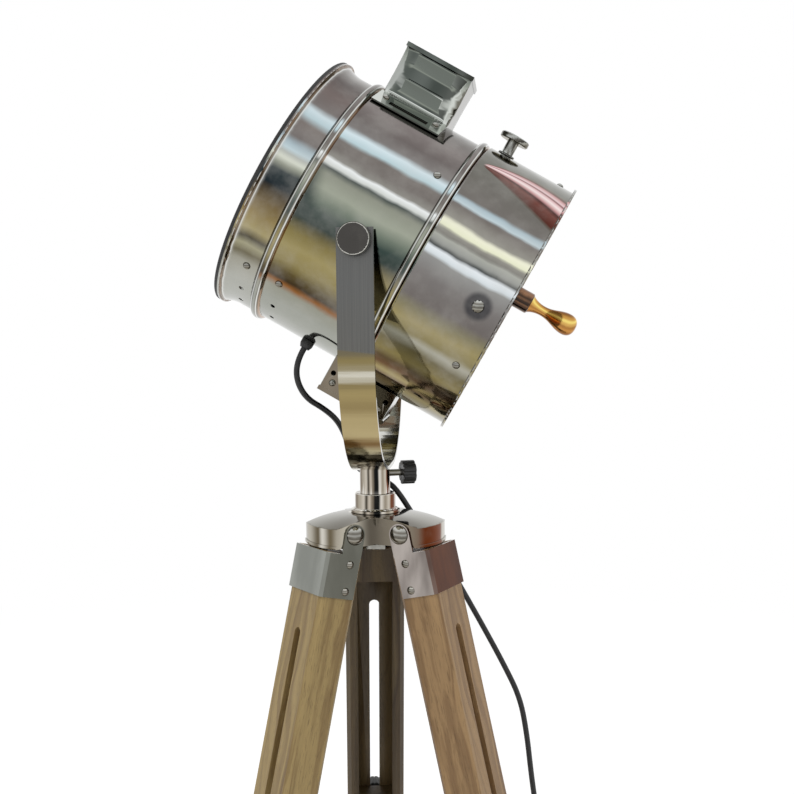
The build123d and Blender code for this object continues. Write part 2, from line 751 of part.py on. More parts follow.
with BuildPart() as yoke_spigot:
    with BuildSketch(Plane.XY.offset(strap_bottom)):
        Circle(spigot_radius)
    extrude(amount=-spigot_length)
    with BuildSketch(Plane.XY.offset(strap_bottom)):
        Circle(spigot_neck_radius)
    extrude(amount=strap_depth)
    dome_head(Vector(0, 0, strap_floor), Vector(0, 0, 1), spigot_head_radius, spigot_head_height)
keep(yoke_spigot, "yoke_spigot")

# ---------------------------------------------------------------- stem socket and clamp screw
clamp = radians(clamp_azimuth)
clamp_way = Vector(cos(clamp), sin(clamp), 0)
clamp_centre = Vector(0, 0, hinge_height + clamp_height)


def clamp_plane(distance):
    """Plane across the clamp screw, facing away from the stem."""
    return Plane(origin=clamp_centre + clamp_way * distance, x_dir=(-sin(clamp), cos(clamp), 0), z_dir=clamp_way)


socket_profile = Plane(origin=(0, 0, hinge_height), x_dir=(1, 0, 0), z_dir=(0, -1, 0))
socket_bore = spigot_radius + running_fit
socket_floor = strap_under - spigot_length - 1.0
socket_foot = crown_bottom - socket_nut_depth - 1.0
with BuildPart() as stem_socket:
    with BuildSketch(socket_profile):
        turned([(socket_bore, strap_under - slip_gap), (tube_radius - 0.6, strap_under - slip_gap),
                (tube_radius, strap_under - slip_gap - 0.6), (tube_radius, collar_top), (collar_ring - 0.8, collar_top),
                (collar_ring, collar_top - 0.8), (collar_ring, collar_base + 0.5), (collar_ring + 1.6, collar_base),
                (collar_ring + 1.6, collar_base - 0.8), (flange_ring, collar_base - 1.2), (flange_ring, dome_top + 0.4),
                (flange_ring - 0.6, dome_top), (socket_foot_radius, dome_top), (socket_foot_radius, socket_foot),
                (0, socket_foot), (0, socket_floor), (socket_bore, socket_floor)])
    revolve(axis=Axis.Z)
    with BuildSketch(clamp_plane(0)):
        Circle(clamp_stud_radius + running_fit)
    extrude(amount=tube_radius * 2, mode=Mode.SUBTRACT)
keep(stem_socket, "stem_socket")

with BuildPart() as clamp_stud:
    with BuildSketch(clamp_plane(spigot_radius + slip_gap)):
        Circle(clamp_stud_radius)
    extrude(amount=tube_radius + clamp_stud_showing + clamp_knob_depth * 0.6 - spigot_radius - slip_gap)
keep(clamp_stud, "clamp_stud")

with BuildPart() as clamp_knob:
    with BuildSketch(clamp_plane(tube_radius + clamp_stud_showing)):
        Circle(clamp_knob_radius)
        with PolarLocations(clamp_knob_radius + 1.6, clamp_lobes):
            Circle(2.6, mode=Mode.SUBTRACT)
    extrude(amount=clamp_knob_depth)
    fillet(clamp_knob.faces().sort_by(Axis(clamp_centre, clamp_way))[-1].edges(), 1.0)
    with BuildSketch(clamp_plane(tube_radius + clamp_stud_showing)):
        Circle(clamp_stud_radius + seat_gap)
    extrude(amount=clamp_knob_depth * 0.6, mode=Mode.SUBTRACT)
keep(clamp_knob, "clamp_knob")

# ---------------------------------------------------------------- tripod crown
leg_azimuths = [tripod_turn + 90, tripod_turn + 210, tripod_turn + 330]
leg_names = ["rear", "left", "right"]
splay = radians(leg_splay)
lug_width = leg_width - 2 * lug_gap


class LegFrame:
    """Directions of one leg: outwards, across and down along the leg, from its hinge."""

    def __init__(self, azimuth):
        turn = radians(azimuth)
        self.radial = Vector(cos(turn), sin(turn), 0)
        self.side = Vector(-sin(turn), cos(turn), 0)
        self.down = self.radial * sin(splay) - Vector(0, 0, cos(splay))
        self.out = self.radial * cos(splay) + Vector(0, 0, sin(splay))
        self.hinge = self.radial * hinge_radius + Vector(0, 0, hinge_height)

    def section(self, place):
        """Plane across the leg: x outwards, y sideways, normal up the leg."""
        return Plane(origin=self.hinge + self.down * place, x_dir=self.out, z_dir=self.down * -1)

    def flank(self, distance):
        """Plane on the leg's side: x outwards, y down the leg, normal sideways."""
        return Plane(origin=self.hinge + self.side * distance, x_dir=self.out, z_dir=self.side)

    def face(self, distance):
        """Plane on the leg's broad face: x down the leg, normal outwards."""
        return Plane(origin=self.hinge + self.out * distance, x_dir=self.down, z_dir=self.out)


leg_frames = [LegFrame(azimuth) for azimuth in leg_azimuths]

with BuildPart() as tripod_crown:
    with BuildSketch(socket_profile):
        with BuildLine():
            Line((0, crown_bottom), (crown_radius + crown_lip, crown_bottom))
            Line((crown_radius + crown_lip, crown_bottom), (crown_radius + crown_lip, crown_bottom + crown_lip_height))
            Line((crown_radius + crown_lip, crown_bottom + crown_lip_height),
                 (crown_radius, crown_bottom + crown_lip_height))
            Line((crown_radius, crown_bottom + crown_lip_height), (crown_radius, crown_rim_top))
            ThreePointArc((crown_radius, crown_rim_top), (crown_radius * 0.75, crown_rim_top + 4.4), (flange_ring, dome_top))
            Line((flange_ring, dome_top), (0, dome_top))
            Line((0, dome_top), (0, crown_bottom))
        make_face()
    revolve(axis=Axis.Z)
    with BuildSketch(Plane.XY.offset(hinge_height + crown_bottom)):
        Circle(crown_hub)
        for azimuth in leg_azimuths:
            with Locations(Location((0, 0, 0), (0, 0, azimuth))):
                with Locations((crown_radius / 2 + crown_lip, 0)):
                    Rectangle(crown_radius + 2 * crown_lip, lug_width)
    extrude(amount=dome_top - crown_bottom, mode=Mode.INTERSECT)
    with BuildSketch(Plane.XY.offset(hinge_height + crown_bottom)):
        Circle(socket_foot_radius + seat_gap)
    extrude(amount=dome_top - crown_bottom, mode=Mode.SUBTRACT)
    for leg in leg_frames:
        with BuildSketch(leg.flank(-leg_width)):
            Circle(hinge_bolt_radius + running_fit)
        extrude(amount=2 * leg_width, mode=Mode.SUBTRACT)
keep(tripod_crown, "tripod_crown")

with BuildPart() as socket_nut:
    with BuildSketch(Plane.XY.offset(hinge_height + crown_bottom)):
        RegularPolygon(socket_nut_across / 2, 6, major_radius=False)
        Circle(socket_foot_radius + seat_gap, mode=Mode.SUBTRACT)
    extrude(amount=-socket_nut_depth)
keep(socket_nut, "socket_nut")

ear_inner = leg_width / 2
ear_outer = ear_inner + ferrule_sheet
with BuildPart() as hinge_bolts:
    for leg in leg_frames:
        with BuildSketch(leg.flank(-ear_outer - slip_gap)):
            Circle(hinge_bolt_radius)
        extrude(amount=2 * (ear_outer + slip_gap))
        base = leg.hinge - leg.side * (ear_outer + slip_gap)
        dome_head(base, leg.side * -1, hinge_head_radius, hinge_head_height)
keep(hinge_bolts, "hinge_bolts")

with BuildPart() as hinge_nuts:
    for leg in leg_frames:
        base = leg.hinge + leg.side * (ear_outer + slip_gap)
        dome_head(base, leg.side, hinge_head_radius, hinge_head_height)
keep(hinge_nuts, "hinge_nuts")

# ---------------------------------------------------------------- legs
leg_inner_face = leg_shift - leg_depth / 2
leg_outer_face = leg_shift + leg_depth / 2
channel_floor = leg_inner_face + channel_depth
lower_width = channel_width - 2 * lower_gap
lower_inner = channel_floor - lower_gap - lower_thickness
lower_middle = lower_inner + lower_thickness / 2


def rivet_spots(leg):
    """Centre and outward way of each rivet on a leg's two flanks."""
    for side in (-1, 1):
        for place in rivet_places:
            yield leg.hinge + leg.down * place + leg.side * (side * ear_outer), leg.side * side


for leg, name in zip(leg_frames, leg_names):
    with BuildPart() as upper_leg:
        with BuildSketch(leg.section(leg_top)):
            with Locations((leg_shift, 0)):
                board = Rectangle(leg_depth, leg_width)
            chamfer(board.vertices(), leg_edge)
        extrude(amount=-(leg_end - leg_top))
        with BuildSketch(leg.section(channel_top)):
            with Locations((leg_inner_face + channel_depth / 2 - 1, 0)):
                Rectangle(channel_depth + 2, channel_width)
        extrude(amount=-(leg_end - channel_top), mode=Mode.SUBTRACT)
        with BuildSketch(leg.face(leg_outer_face)):
            with Locations(((slot_top + slot_end) / 2, 0)):
                SlotOverall(slot_end - slot_top, slot_width)
        extrude(amount=-leg_depth, mode=Mode.SUBTRACT)
        for spot, way in rivet_spots(leg):
            with BuildSketch(Plane(origin=spot, z_dir=way)):
                Circle(rivet_shank_radius + seat_gap)
            extrude(amount=-(rivet_shank_length + ferrule_sheet), mode=Mode.SUBTRACT)
    keep(upper_leg, f"upper_leg_{name}")

    with BuildPart() as ferrule:
        back = leg_outer_face + seat_gap
        front = leg_inner_face + leg_edge
        with BuildSketch(leg.section(ferrule_top)):
            with BuildLine():
                edge = leg_edge * 0.7
                Polyline((front, ear_outer), (back + ferrule_sheet - edge, ear_outer),
                         (back + ferrule_sheet, ear_outer - edge), (back + ferrule_sheet, -ear_outer + edge),
                         (back + ferrule_sheet - edge, -ear_outer), (front, -ear_outer),
                         (front, -ear_inner - seat_gap), (back - edge, -ear_inner - seat_gap),
                         (back, -ear_inner + edge), (back, ear_inner - edge), (back - edge, ear_inner + seat_gap),
                         (front, ear_inner + seat_gap), close=True)
            make_face()
        extrude(amount=-(ferrule_end - ferrule_top))
        for start in (-ear_outer, ear_inner + seat_gap):
            with BuildSketch(leg.flank(start)):
                with BuildLine():
                    Line((ear_radius, 0), (ear_radius, ferrule_top + 2))
                    Line((ear_radius, ferrule_top + 2), (-ear_radius, ferrule_top + 2))
                    Line((-ear_radius, ferrule_top + 2), (-ear_radius, 0))
                    ThreePointArc((-ear_radius, 0), (0, -ear_radius), (ear_radius, 0))
                make_face()
            extrude(amount=ferrule_sheet - seat_gap)
            with BuildSketch(leg.flank(start)):
                Circle(hinge_bolt_radius + running_fit)
            extrude(amount=ferrule_sheet, mode=Mode.SUBTRACT)
        for spot, way in rivet_spots(leg):
            with BuildSketch(Plane(origin=spot, z_dir=way)):
                Circle(rivet_shank_radius + seat_gap)
            extrude(amount=-(rivet_shank_length + ferrule_sheet), mode=Mode.SUBTRACT)
    keep(ferrule, f"ferrule_{name}")

    with BuildPart() as rivets:
        for spot, way in rivet_spots(leg):
            dome_head(spot, way, rivet_head_radius, rivet_head_height)
            with BuildSketch(Plane(origin=spot, z_dir=way)):
                Circle(rivet_shank_radius)
            extrude(amount=-(rivet_shank_length + ferrule_sheet - 0.5))
    keep(rivets, f"rivets_{name}")

    with BuildPart() as lower_leg:
        with BuildSketch(leg.section(lower_top)):
            with Locations((lower_middle, 0)):
                Rectangle(lower_thickness, lower_width)
        extrude(amount=-(lower_end - lower_top))
        with BuildSketch(leg.face(lower_inner - 1)):
            with Locations((lock_at, 0)):
                Circle(lock_bolt_radius + running_fit)
        extrude(amount=lower_thickness + 2, mode=Mode.SUBTRACT)
    keep(lower_leg, f"lower_leg_{name}")

    with BuildPart() as lock_screw:
        knob_seat = leg_outer_face + slip_gap
        with BuildSketch(leg.face(knob_seat)):
            with Locations((lock_at, 0)):
                Circle(lock_washer_radius)
        extrude(amount=lock_washer_depth)
        with BuildSketch(leg.face(knob_seat + lock_washer_depth)):
            with Locations((lock_at, 0)):
                Circle(lock_knob_radius)
                with PolarLocations(lock_knob_radius + 0.6, lock_knob_grooves):
                    Circle(1.2, mode=Mode.SUBTRACT)
        extrude(amount=lock_knob_depth)
        with BuildSketch(leg.face(lower_inner + 1.0)):
            with Locations((lock_at, 0)):
                Circle(lock_bolt_radius)
        extrude(amount=knob_seat - lower_inner - 1.0)
    keep(lock_screw, f"lock_screw_{name}")

    with BuildPart() as foot:
        with BuildSketch(leg.section(lower_end - foot_cover)):
            with Locations((lower_middle, 0)):
                pad = Rectangle(lower_thickness + 2 * foot_wall, lower_width + 2 * foot_wall)
            fillet(pad.vertices(), foot_wall)
        extrude(amount=-(foot_reach - lower_end + foot_cover))
        with BuildSketch(leg.section(lower_end - foot_cover)):
            with Locations((lower_middle, 0)):
                Rectangle(lower_thickness + 2 * seat_gap, lower_width + 2 * seat_gap)
        extrude(amount=-foot_cover, mode=Mode.SUBTRACT)
        split(bisect_by=Plane.XY, keep=Keep.TOP)
    keep(foot, f"foot_{name}")

# ---------------------------------------------------------------- mains lead
floor_line = cord_diameter / 2 + 0.1            # lead's middle where it lies on the floor
switch_middle = Vector(*switch_place, 0)
coil_centre = Vector(*coil_place, floor_line)
boot_reach = switch_length / 2 + switch_boot_length
gland_end = (gland_mouth.X, gland_mouth.Y, gland_mouth.Z)
hand_over = (0, 27, 442.5)
yoke_side_end = (-0.45, 27, 442.67)   # a little short of the run that the tripod carries
upper_route = [gland_end, (-59.8, -27.8, 547.6), (-61.5, -25, 531), (-55, -15, 515), (-42, -3, 505.5),
               (-32, 10, 494), (-26, 20, 477), (-23.5, 25, 460), (-14.5, 27.5, 447.5), yoke_side_end]
lower_route = [hand_over, (10, 27, 438.7), (18, 26, 429.5), (24.5, 27.5, 419), (31, 32, 407), (42, 46, 390),
               (55.5, 62, 364), (71.5, 71, 333), (89.5, 73, 300), (106.5, 73, 268), (121.5, 72.5, 237), (127.5, 72, 203),
               (131, 72, 168), (136, 73, 130), (141.5, 75, 92), (149, 80, 55), (160, 91, 25), (170, 110, 5),
               (170, 132, floor_line), (158, 149, 4.5), (switch_middle.X + boot_reach, switch_middle.Y, switch_entry)]
coil_outer = coil_middle_radius + coil_half_turns * coil_pitch / 4
tail_route = [(switch_middle.X - boot_reach, switch_middle.Y, switch_entry), (44, 155, 4.5), (32, 146, floor_line),
              (25, 128, floor_line), (23, 105, floor_line), (22.6, 80, floor_line),
              (coil_centre.X - coil_outer, coil_centre.Y + cord_diameter, floor_line)]


def corner_radii(route):
    """Widest arc at each corner of a route that its two runs leave room for."""
    radii = []
    for before, corner, after in zip(route, route[1:], route[2:]):
        arriving = Vector(*corner) - Vector(*before)
        leaving = Vector(*after) - Vector(*corner)
        half_turn = radians(arriving.get_angle(leaving)) / 2
        radii.append(0.45 * min(arriving.length, leaving.length) / tan(half_turn))
    return radii


def lay_cord(route, name):
    """Round lead along a route, as straight runs joined by tangent arcs."""
    radii = corner_radii(route)
    with BuildLine() as path:
        FilletPolyline(*route, radius=radii)
    centre_line = path.wire()
    with BuildSketch(Plane(origin=centre_line @ 0, z_dir=centre_line % 0)) as section:
        Circle(cord_diameter / 2)
    sweep(section.sketch, path=centre_line)
    shown = [round(radius, 1) for radius in radii]
    print(name, "length", round(centre_line.length, 1), "corner radii", shown)
    return centre_line.length


with BuildPart() as cord_upper:
    upper_length = lay_cord(upper_route, "cord_upper")
keep(cord_upper, "cord_upper")

with BuildPart() as cord_lower:
    lower_length = lay_cord(lower_route, "cord_lower")
keep(cord_lower, "cord_lower")

with BuildPart() as cord_tail:
    tail_length = lay_cord(tail_route, "cord_tail")
keep(cord_tail, "cord_tail")


def coil_points():
    """Ends of the coil's half turns: in to its bore on the floor, then out again on top."""
    ends = []
    for step in range(coil_half_turns + 1):
        ends.append(((-1) ** (step + 1) * (coil_outer - step * coil_pitch / 2), 0))
    for step in range(coil_half_turns + 1):
        ends.append(((-1) ** (coil_half_turns + step) * (abs(ends[coil_half_turns][0]) + step * coil_pitch / 2), 1))
    return [coil_centre + Vector(reach, 0, layer * coil_rise) for reach, layer in ends]


with BuildPart() as cord_coil:
    turns = coil_points()
    with BuildLine() as winding:
        heading = Vector(0, -1, 0)
        Line(turns[0] - heading * cord_diameter, turns[0])
        for start, end in zip(turns, turns[1:]):
            half_width = abs(end.X - start.X) / 2
            middle = (start + end) / 2
            if start.Z == end.Z:
                ThreePointArc(start, middle + heading * half_width, end)
            else:
                # the climb: two equal arcs that meet level with the coil's axis
                rise = end.Z - start.Z
                meeting = middle + heading * sqrt(half_width ** 2 + rise ** 2 / 4)
                chord = (meeting - start).normalized()
                slope = chord * (2 * heading.dot(chord)) - heading
                TangentArc(start, meeting, tangent=heading)
                TangentArc(meeting, end, tangent=slope)
            heading = heading * -1
        Line(turns[-1], turns[-1] + heading * cord_diameter)
    coil_line = winding.wire()
    with BuildSketch(Plane(origin=coil_line @ 0, z_dir=coil_line % 0)):
        Circle(cord_diameter / 2)
    sweep(path=coil_line)
    coil_length = coil_line.length
keep(cord_coil, "cord_coil")
coil_end = turns[-1] + heading * cord_diameter


def self_gap(line, diameter, spacing):
    """Least gap between a winding's surface and itself, measured on points a spacing apart."""
    count = int(line.length / spacing)
    spots = [line @ (step / count) for step in range(count + 1)]
    skip = int(2.2 * diameter / spacing)
    least = min((a - b).length for first, a in enumerate(spots) for b in spots[first + skip:])
    return least - diameter


print("coil length", round(coil_length, 1), "self gap", round(self_gap(coil_line, cord_diameter, 3.0), 2))

# ---------------------------------------------------------------- switch on the lead
with BuildPart() as switch_body:
    half = switch_length / 2
    with BuildSketch(Plane.XY.offset(0.3)):
        with Locations((switch_middle.X, switch_middle.Y)):
            RectangleRounded(switch_length, switch_width, 6)
    extrude(amount=switch_height - 0.3)
    fillet(switch_body.faces().sort_by(Axis.Z)[-1].edges(), 3)
    # tapered strain reliefs
    entry = switch_middle + Vector(0, 0, switch_entry)
    with BuildSketch(Plane(origin=entry, x_dir=(1, 0, 0), z_dir=(0, -1, 0))):
        wide = switch_boot_radius + 1.5
        Polygon((-boot_reach, 0), (-boot_reach, switch_boot_radius - 1.2), (-half + 1, wide), (half - 1, wide),
                (boot_reach, switch_boot_radius - 1.2), (boot_reach, 0), align=None)
    revolve(axis=Axis(switch_middle + Vector(0, 0, switch_entry), (1, 0, 0)))
    # pocket and pin holes of the rocker
    pocket_floor = 5.0
    with BuildSketch(Plane.XY.offset(pocket_floor)):
        with Locations((switch_middle.X, switch_middle.Y)):
            Rectangle(rocker_length + 2 * slip_gap + 1.4, rocker_width + 2 * slip_gap)
    extrude(amount=switch_height, mode=Mode.SUBTRACT)
    rocker_pin = switch_middle + Vector(0, 0, rocker_pin_height)
    with BuildSketch(Plane(origin=rocker_pin, x_dir=(1, 0, 0), z_dir=(0, -1, 0))):
        Circle(rocker_pin_radius + running_fit)
    extrude(amount=rocker_width / 2 + 3.0, both=True, mode=Mode.SUBTRACT)
keep(switch_body, "switch_body")

with BuildPart() as switch_rocker:
    lean = radians(rocker_lean)
    rocker_plane = Plane(origin=rocker_pin, x_dir=(cos(lean), 0, sin(lean)), z_dir=(0, -1, 0))
    rocker_top = switch_height + rocker_proud - rocker_pin_height
    with BuildSketch(rocker_plane.offset(-rocker_width / 2)):
        half = rocker_length / 2
        with BuildLine():
            Line((-half, 0), (-half, rocker_top - 0.6))
            ThreePointArc((-half, rocker_top - 0.6), (0, rocker_top - 2.4), (half, rocker_top - 0.6))
            Line((half, rocker_top - 0.6), (half, 0))
            Line((half, 0), (3, -4))
            Line((3, -4), (-3, -4))
            Line((-3, -4), (-half, 0))
        make_face()
    extrude(amount=rocker_width)
    with BuildSketch(Plane(origin=rocker_pin, x_dir=(1, 0, 0), z_dir=(0, -1, 0))):
        Circle(rocker_pin_radius)
    extrude(amount=rocker_width / 2 + 2.5, both=True)
keep(switch_rocker, "switch_rocker")

# ---------------------------------------------------------------- plug
plug_way = Plane(origin=coil_end, x_dir=(1, 0, 0), z_dir=heading)
with BuildPart() as plug_body:
    with BuildSketch(plug_way):
        Circle(plug_boot_radius)
    with BuildSketch(plug_way.offset(plug_boot_length)):
        Circle(plug_boot_wide)
    loft()
    with BuildSketch(plug_way.offset(plug_boot_length)):
        RectangleRounded(plug_width * 0.62, plug_thickness - 1.2, 4)
    with BuildSketch(plug_way.offset(plug_boot_length + plug_length * 0.4)):
        RectangleRounded(plug_width, plug_thickness - 0.6, 6)
    loft()
    with BuildSketch(plug_way.offset(plug_boot_length + plug_length * 0.4)):
        RectangleRounded(plug_width, plug_thickness - 0.6, 6)
    extrude(amount=plug_length * 0.6)
    with BuildSketch(plug_way.offset(plug_boot_length + plug_length)):
        with Locations((-pin_spacing / 2, 0), (pin_spacing / 2, 0)):
            Circle(pin_radius + seat_gap)
    extrude(amount=-8, mode=Mode.SUBTRACT)
keep(plug_body, "plug_body")

with BuildPart() as plug_pins:
    with BuildSketch(plug_way.offset(plug_boot_length + plug_length - 8)):
        with Locations((-pin_spacing / 2, 0), (pin_spacing / 2, 0)):
            Circle(pin_radius)
    extrude(amount=pin_length + 8)
    fillet(plug_pins.faces().sort_by(Axis.Y)[-2:].edges(), 1.0)
keep(plug_pins, "plug_pins")

total_length = upper_length + lower_length + 2 * boot_reach + tail_length + coil_length
print("lead from gland to plug", round(total_length, 1))
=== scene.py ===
"""Dresses the searchlight lamp on its wooden tripod: polished shell, yoke, stem, timber legs and mains lead.

Lengths are in metres. The drum's axis runs down towards its rear, in the plane y = 0.
"""

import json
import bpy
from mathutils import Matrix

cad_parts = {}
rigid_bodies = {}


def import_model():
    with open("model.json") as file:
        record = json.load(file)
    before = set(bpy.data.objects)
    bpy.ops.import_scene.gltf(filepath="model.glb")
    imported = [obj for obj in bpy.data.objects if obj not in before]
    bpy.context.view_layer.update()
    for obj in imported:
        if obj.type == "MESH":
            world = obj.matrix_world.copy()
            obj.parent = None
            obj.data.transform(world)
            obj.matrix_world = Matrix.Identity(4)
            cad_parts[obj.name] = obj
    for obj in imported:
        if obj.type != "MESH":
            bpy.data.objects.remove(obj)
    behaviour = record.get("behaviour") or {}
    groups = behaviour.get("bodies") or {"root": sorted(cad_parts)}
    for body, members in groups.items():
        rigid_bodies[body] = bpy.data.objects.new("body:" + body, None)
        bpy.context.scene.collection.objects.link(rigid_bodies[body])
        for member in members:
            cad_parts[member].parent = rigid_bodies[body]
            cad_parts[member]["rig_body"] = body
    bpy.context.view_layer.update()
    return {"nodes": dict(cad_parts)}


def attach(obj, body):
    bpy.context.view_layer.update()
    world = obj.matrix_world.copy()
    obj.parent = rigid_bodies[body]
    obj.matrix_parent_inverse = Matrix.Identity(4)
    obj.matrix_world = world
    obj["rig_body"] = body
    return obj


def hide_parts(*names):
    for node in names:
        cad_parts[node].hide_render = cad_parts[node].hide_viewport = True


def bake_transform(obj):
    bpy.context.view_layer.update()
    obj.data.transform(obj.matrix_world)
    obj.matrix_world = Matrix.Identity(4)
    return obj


bl_info = {
    "name": "Searchlight lamp on a tripod",
    "version": (1, 0, 0),
    "blender": (4, 5, 0),
    "location": "3D View > Sidebar > Lamp",
    "description": "Pieces, finishes and studio of a searchlight floor lamp",
    "category": "Object",
}

from math import cos, pi, radians, sin

import bmesh
import bpy
import numpy as np
from bpy.props import FloatProperty, FloatVectorProperty, IntProperty, PointerProperty
from mathutils import Matrix, Vector

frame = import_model()
NODES = frame["nodes"]
MM = 0.001

# ---------------------------------------------------------------- places
TILT = radians(30)
ALONG = np.array([cos(TILT), 0.0, -sin(TILT)])      # drum axis, towards its rear
UPWARD = np.array([sin(TILT), 0.0, cos(TILT)])      # square to it, in the plane y = 0
ACROSS = np.array([0.0, 1.0, 0.0])
DRUM_CENTRE = np.array([5.0, 0.0, 648.86]) * MM
HANDLE_RISE = 13.0 * MM
PIVOT = np.array([0.0, 0.0, 640.2]) * MM
LEG_AZIMUTHS = {"rear": 98.2, "left": 218.2, "right": 338.2}
LEG_SPLAY = 13.0
HINGE_RADIUS = 36.2 * MM
HINGE_HEIGHT = 405.0 * MM
HALO_SCREW = DRUM_CENTRE + ALONG * 0.104 + (UPWARD * cos(radians(94.6)) - ACROSS * sin(radians(94.6))) * 0.108


# ---------------------------------------------------------------- shader maths
class Term:
    """A shader value. Sums, products and powers of terms add Math nodes."""

    def __init__(self, finish, socket):
        self.finish = finish
        self.socket = socket

    def joined(self, operation, first, second):
        return self.finish.add("ShaderNodeMath", {"operation": operation}, {0: first, 1: second})

    def __add__(self, other):
        return self.joined("ADD", self, other)

    def __sub__(self, other):
        return self.joined("SUBTRACT", self, other)

    def __mul__(self, other):
        return self.joined("MULTIPLY", self, other)

    def __truediv__(self, other):
        return self.joined("DIVIDE", self, other)

    def __pow__(self, other):
        return self.joined("POWER", self, other)

    def __lt__(self, other):
        return self.joined("LESS_THAN", self, other)

    def __rsub__(self, other):
        return self.joined("SUBTRACT", other, self)

    __radd__ = __add__
    __rmul__ = __mul__

    def over(self, low, high):
        """0 below low, 1 above high and a smooth step between them."""
        return self.finish.add(
            "ShaderNodeMapRange",
            {"interpolation_type": "SMOOTHSTEP", "clamp": True},
            {"Value": self, "From Min": low, "From Max": high},
        )

    def within(self, low, high, soft):
        """1 between low and high, and 0 outside them by more than soft."""
        return self.over(low - soft, low) * (1.0 - self.over(high, high + soft))

    def __abs__(self):
        return self.joined("ABSOLUTE", self, 0.0)


class Finish:
    """A procedural material, or the world's shader, that is put together node by node."""

    def __init__(self, name, kind="materials"):
        self.owner = getattr(bpy.data, kind).new(name)
        self.owner.use_nodes = True
        self.tree = self.owner.node_tree
        self.tree.nodes.clear()

    def add(self, kind, settings=None, sockets=None, output=0):
        """Adds a node of a kind, with its settings first and then the values or terms of its sockets."""
        node = self.tree.nodes.new(kind)
        for key, value in (settings or {}).items():
            if key == "stops":
                ramp = node.color_ramp
                while len(ramp.elements) < len(value):
                    ramp.elements.new(1.0)
                for element, (place, colour) in zip(ramp.elements, value):
                    element.position = place
                    element.color = (*colour, 1.0)
            else:
                setattr(node, key, value)
        for key, value in (sockets or {}).items():
            self.feed(node.inputs[key], value)
        return Term(self, node.outputs[output])

    def feed(self, socket, value):
        if isinstance(value, Term):
            self.tree.links.new(value.socket, socket)
        elif isinstance(value, (tuple, list, np.ndarray)) and len(value) == 3 and socket.type == "RGBA":
            socket.default_value = (*value, 1.0)
        else:
            socket.default_value = value

    def place(self):
        """Object coordinates, which are the frame's own metres."""
        return self.add("ShaderNodeTexCoord", output=3)

    def facing(self, direction):
        """How far the surface faces a direction of the object, from -1 to 1."""
        return self.vector("DOT_PRODUCT", self.add("ShaderNodeTexCoord", output=1), tuple(direction), 1)

    def vector(self, operation, first, second, output=0):
        return self.add("ShaderNodeVectorMath", {"operation": operation}, {0: first, 1: second}, output)

    def along(self, spot, direction, origin=(0.0, 0.0, 0.0)):
        """Distance of a spot from an origin, measured along a direction."""
        return self.vector("DOT_PRODUCT", self.vector("SUBTRACT", spot, tuple(origin)), tuple(direction), 1)

    def length(self, spot):
        return self.vector("LENGTH", spot, (0.0, 0.0, 0.0), 1)

    def gather(self, x, y, z):
        return self.add("ShaderNodeCombineXYZ", None, {"X": x, "Y": y, "Z": z})

    def angle(self, upright, sideways):
        """Turn from upright towards sideways, as a share of a whole turn from 0 to 1 with 0.5 at upright."""
        turn = self.add("ShaderNodeMath", {"operation": "ARCTAN2"}, {0: sideways, 1: upright})
        return turn / (2 * pi) + 0.5

    def noise(self, spot, scale, detail=3.0, roughness=0.5):
        """Soft noise from 0 to 1. A tuple gives each axis a scale of its own."""
        if isinstance(scale, tuple):
            spot, scale = self.vector("MULTIPLY", spot, scale), 1.0
        sockets = {"Vector": spot, "Scale": scale, "Detail": detail, "Roughness": roughness}
        return self.add("ShaderNodeTexNoise", None, sockets)

    def ramp(self, value, stops, interpolation="EASE"):
        node = self.add("ShaderNodeValToRGB", {"stops": stops}, {"Fac": value})
        node.socket.node.color_ramp.interpolation = interpolation
        return node

    def mix(self, share, first, second, blend="MIX"):
        return self.add(
            "ShaderNodeMix",
            {"data_type": "RGBA", "blend_type": blend},
            {0: share, 6: first, 7: second},
            output=2,
        )

    def relief(self, height, depth, strength=1.0):
        """Bump normal from a height, where 1 stands depth metres proud."""
        return self.add("ShaderNodeBump", None, {"Height": height, "Distance": depth, "Strength": strength})

    def seen(self):
        """1 on rays from the camera, from a mirror or through glass, and 0 on those that bring light."""
        rays = self.add("ShaderNodeLightPath").socket.node.outputs
        names = ("Is Camera Ray", "Is Glossy Ray", "Is Transmission Ray")
        camera, glossy, through = (Term(self, rays[name]) for name in names)
        return (camera + glossy + through).over(0.0, 1.0)

    def ended(self, kind, shader):
        """Gives the material or world, once its output node is fed by a shader."""
        out = self.tree.nodes.new(kind)
        self.tree.links.new(shader.socket, out.inputs["Surface"])
        return self.owner

    def surface(self, **sockets):
        """Ends the material in a Principled shader with these sockets set."""
        shader = self.add("ShaderNodeBsdfPrincipled")
        for key, value in sockets.items():
            self.feed(shader.socket.node.inputs[key.replace("_", " ")], value)
        return self.ended("ShaderNodeOutputMaterial", shader)

    def metal(self, colour, roughness, normal, **sockets):
        return self.surface(Base_Color=colour, Metallic=1.0, Roughness=roughness, Normal=normal, **sockets)


# ---------------------------------------------------------------- meshes
def piece(name, mesh, material, body=None, nodes=()):
    """New object for a mesh, with its finish, its body and the nodes that it stands for."""
    made = bpy.data.objects.new(name, mesh)
    bpy.context.scene.collection.objects.link(made)
    mesh.materials.clear()
    mesh.materials.append(material)
    if body:
        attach(made, body)
    if nodes:
        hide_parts(*nodes)
    return made


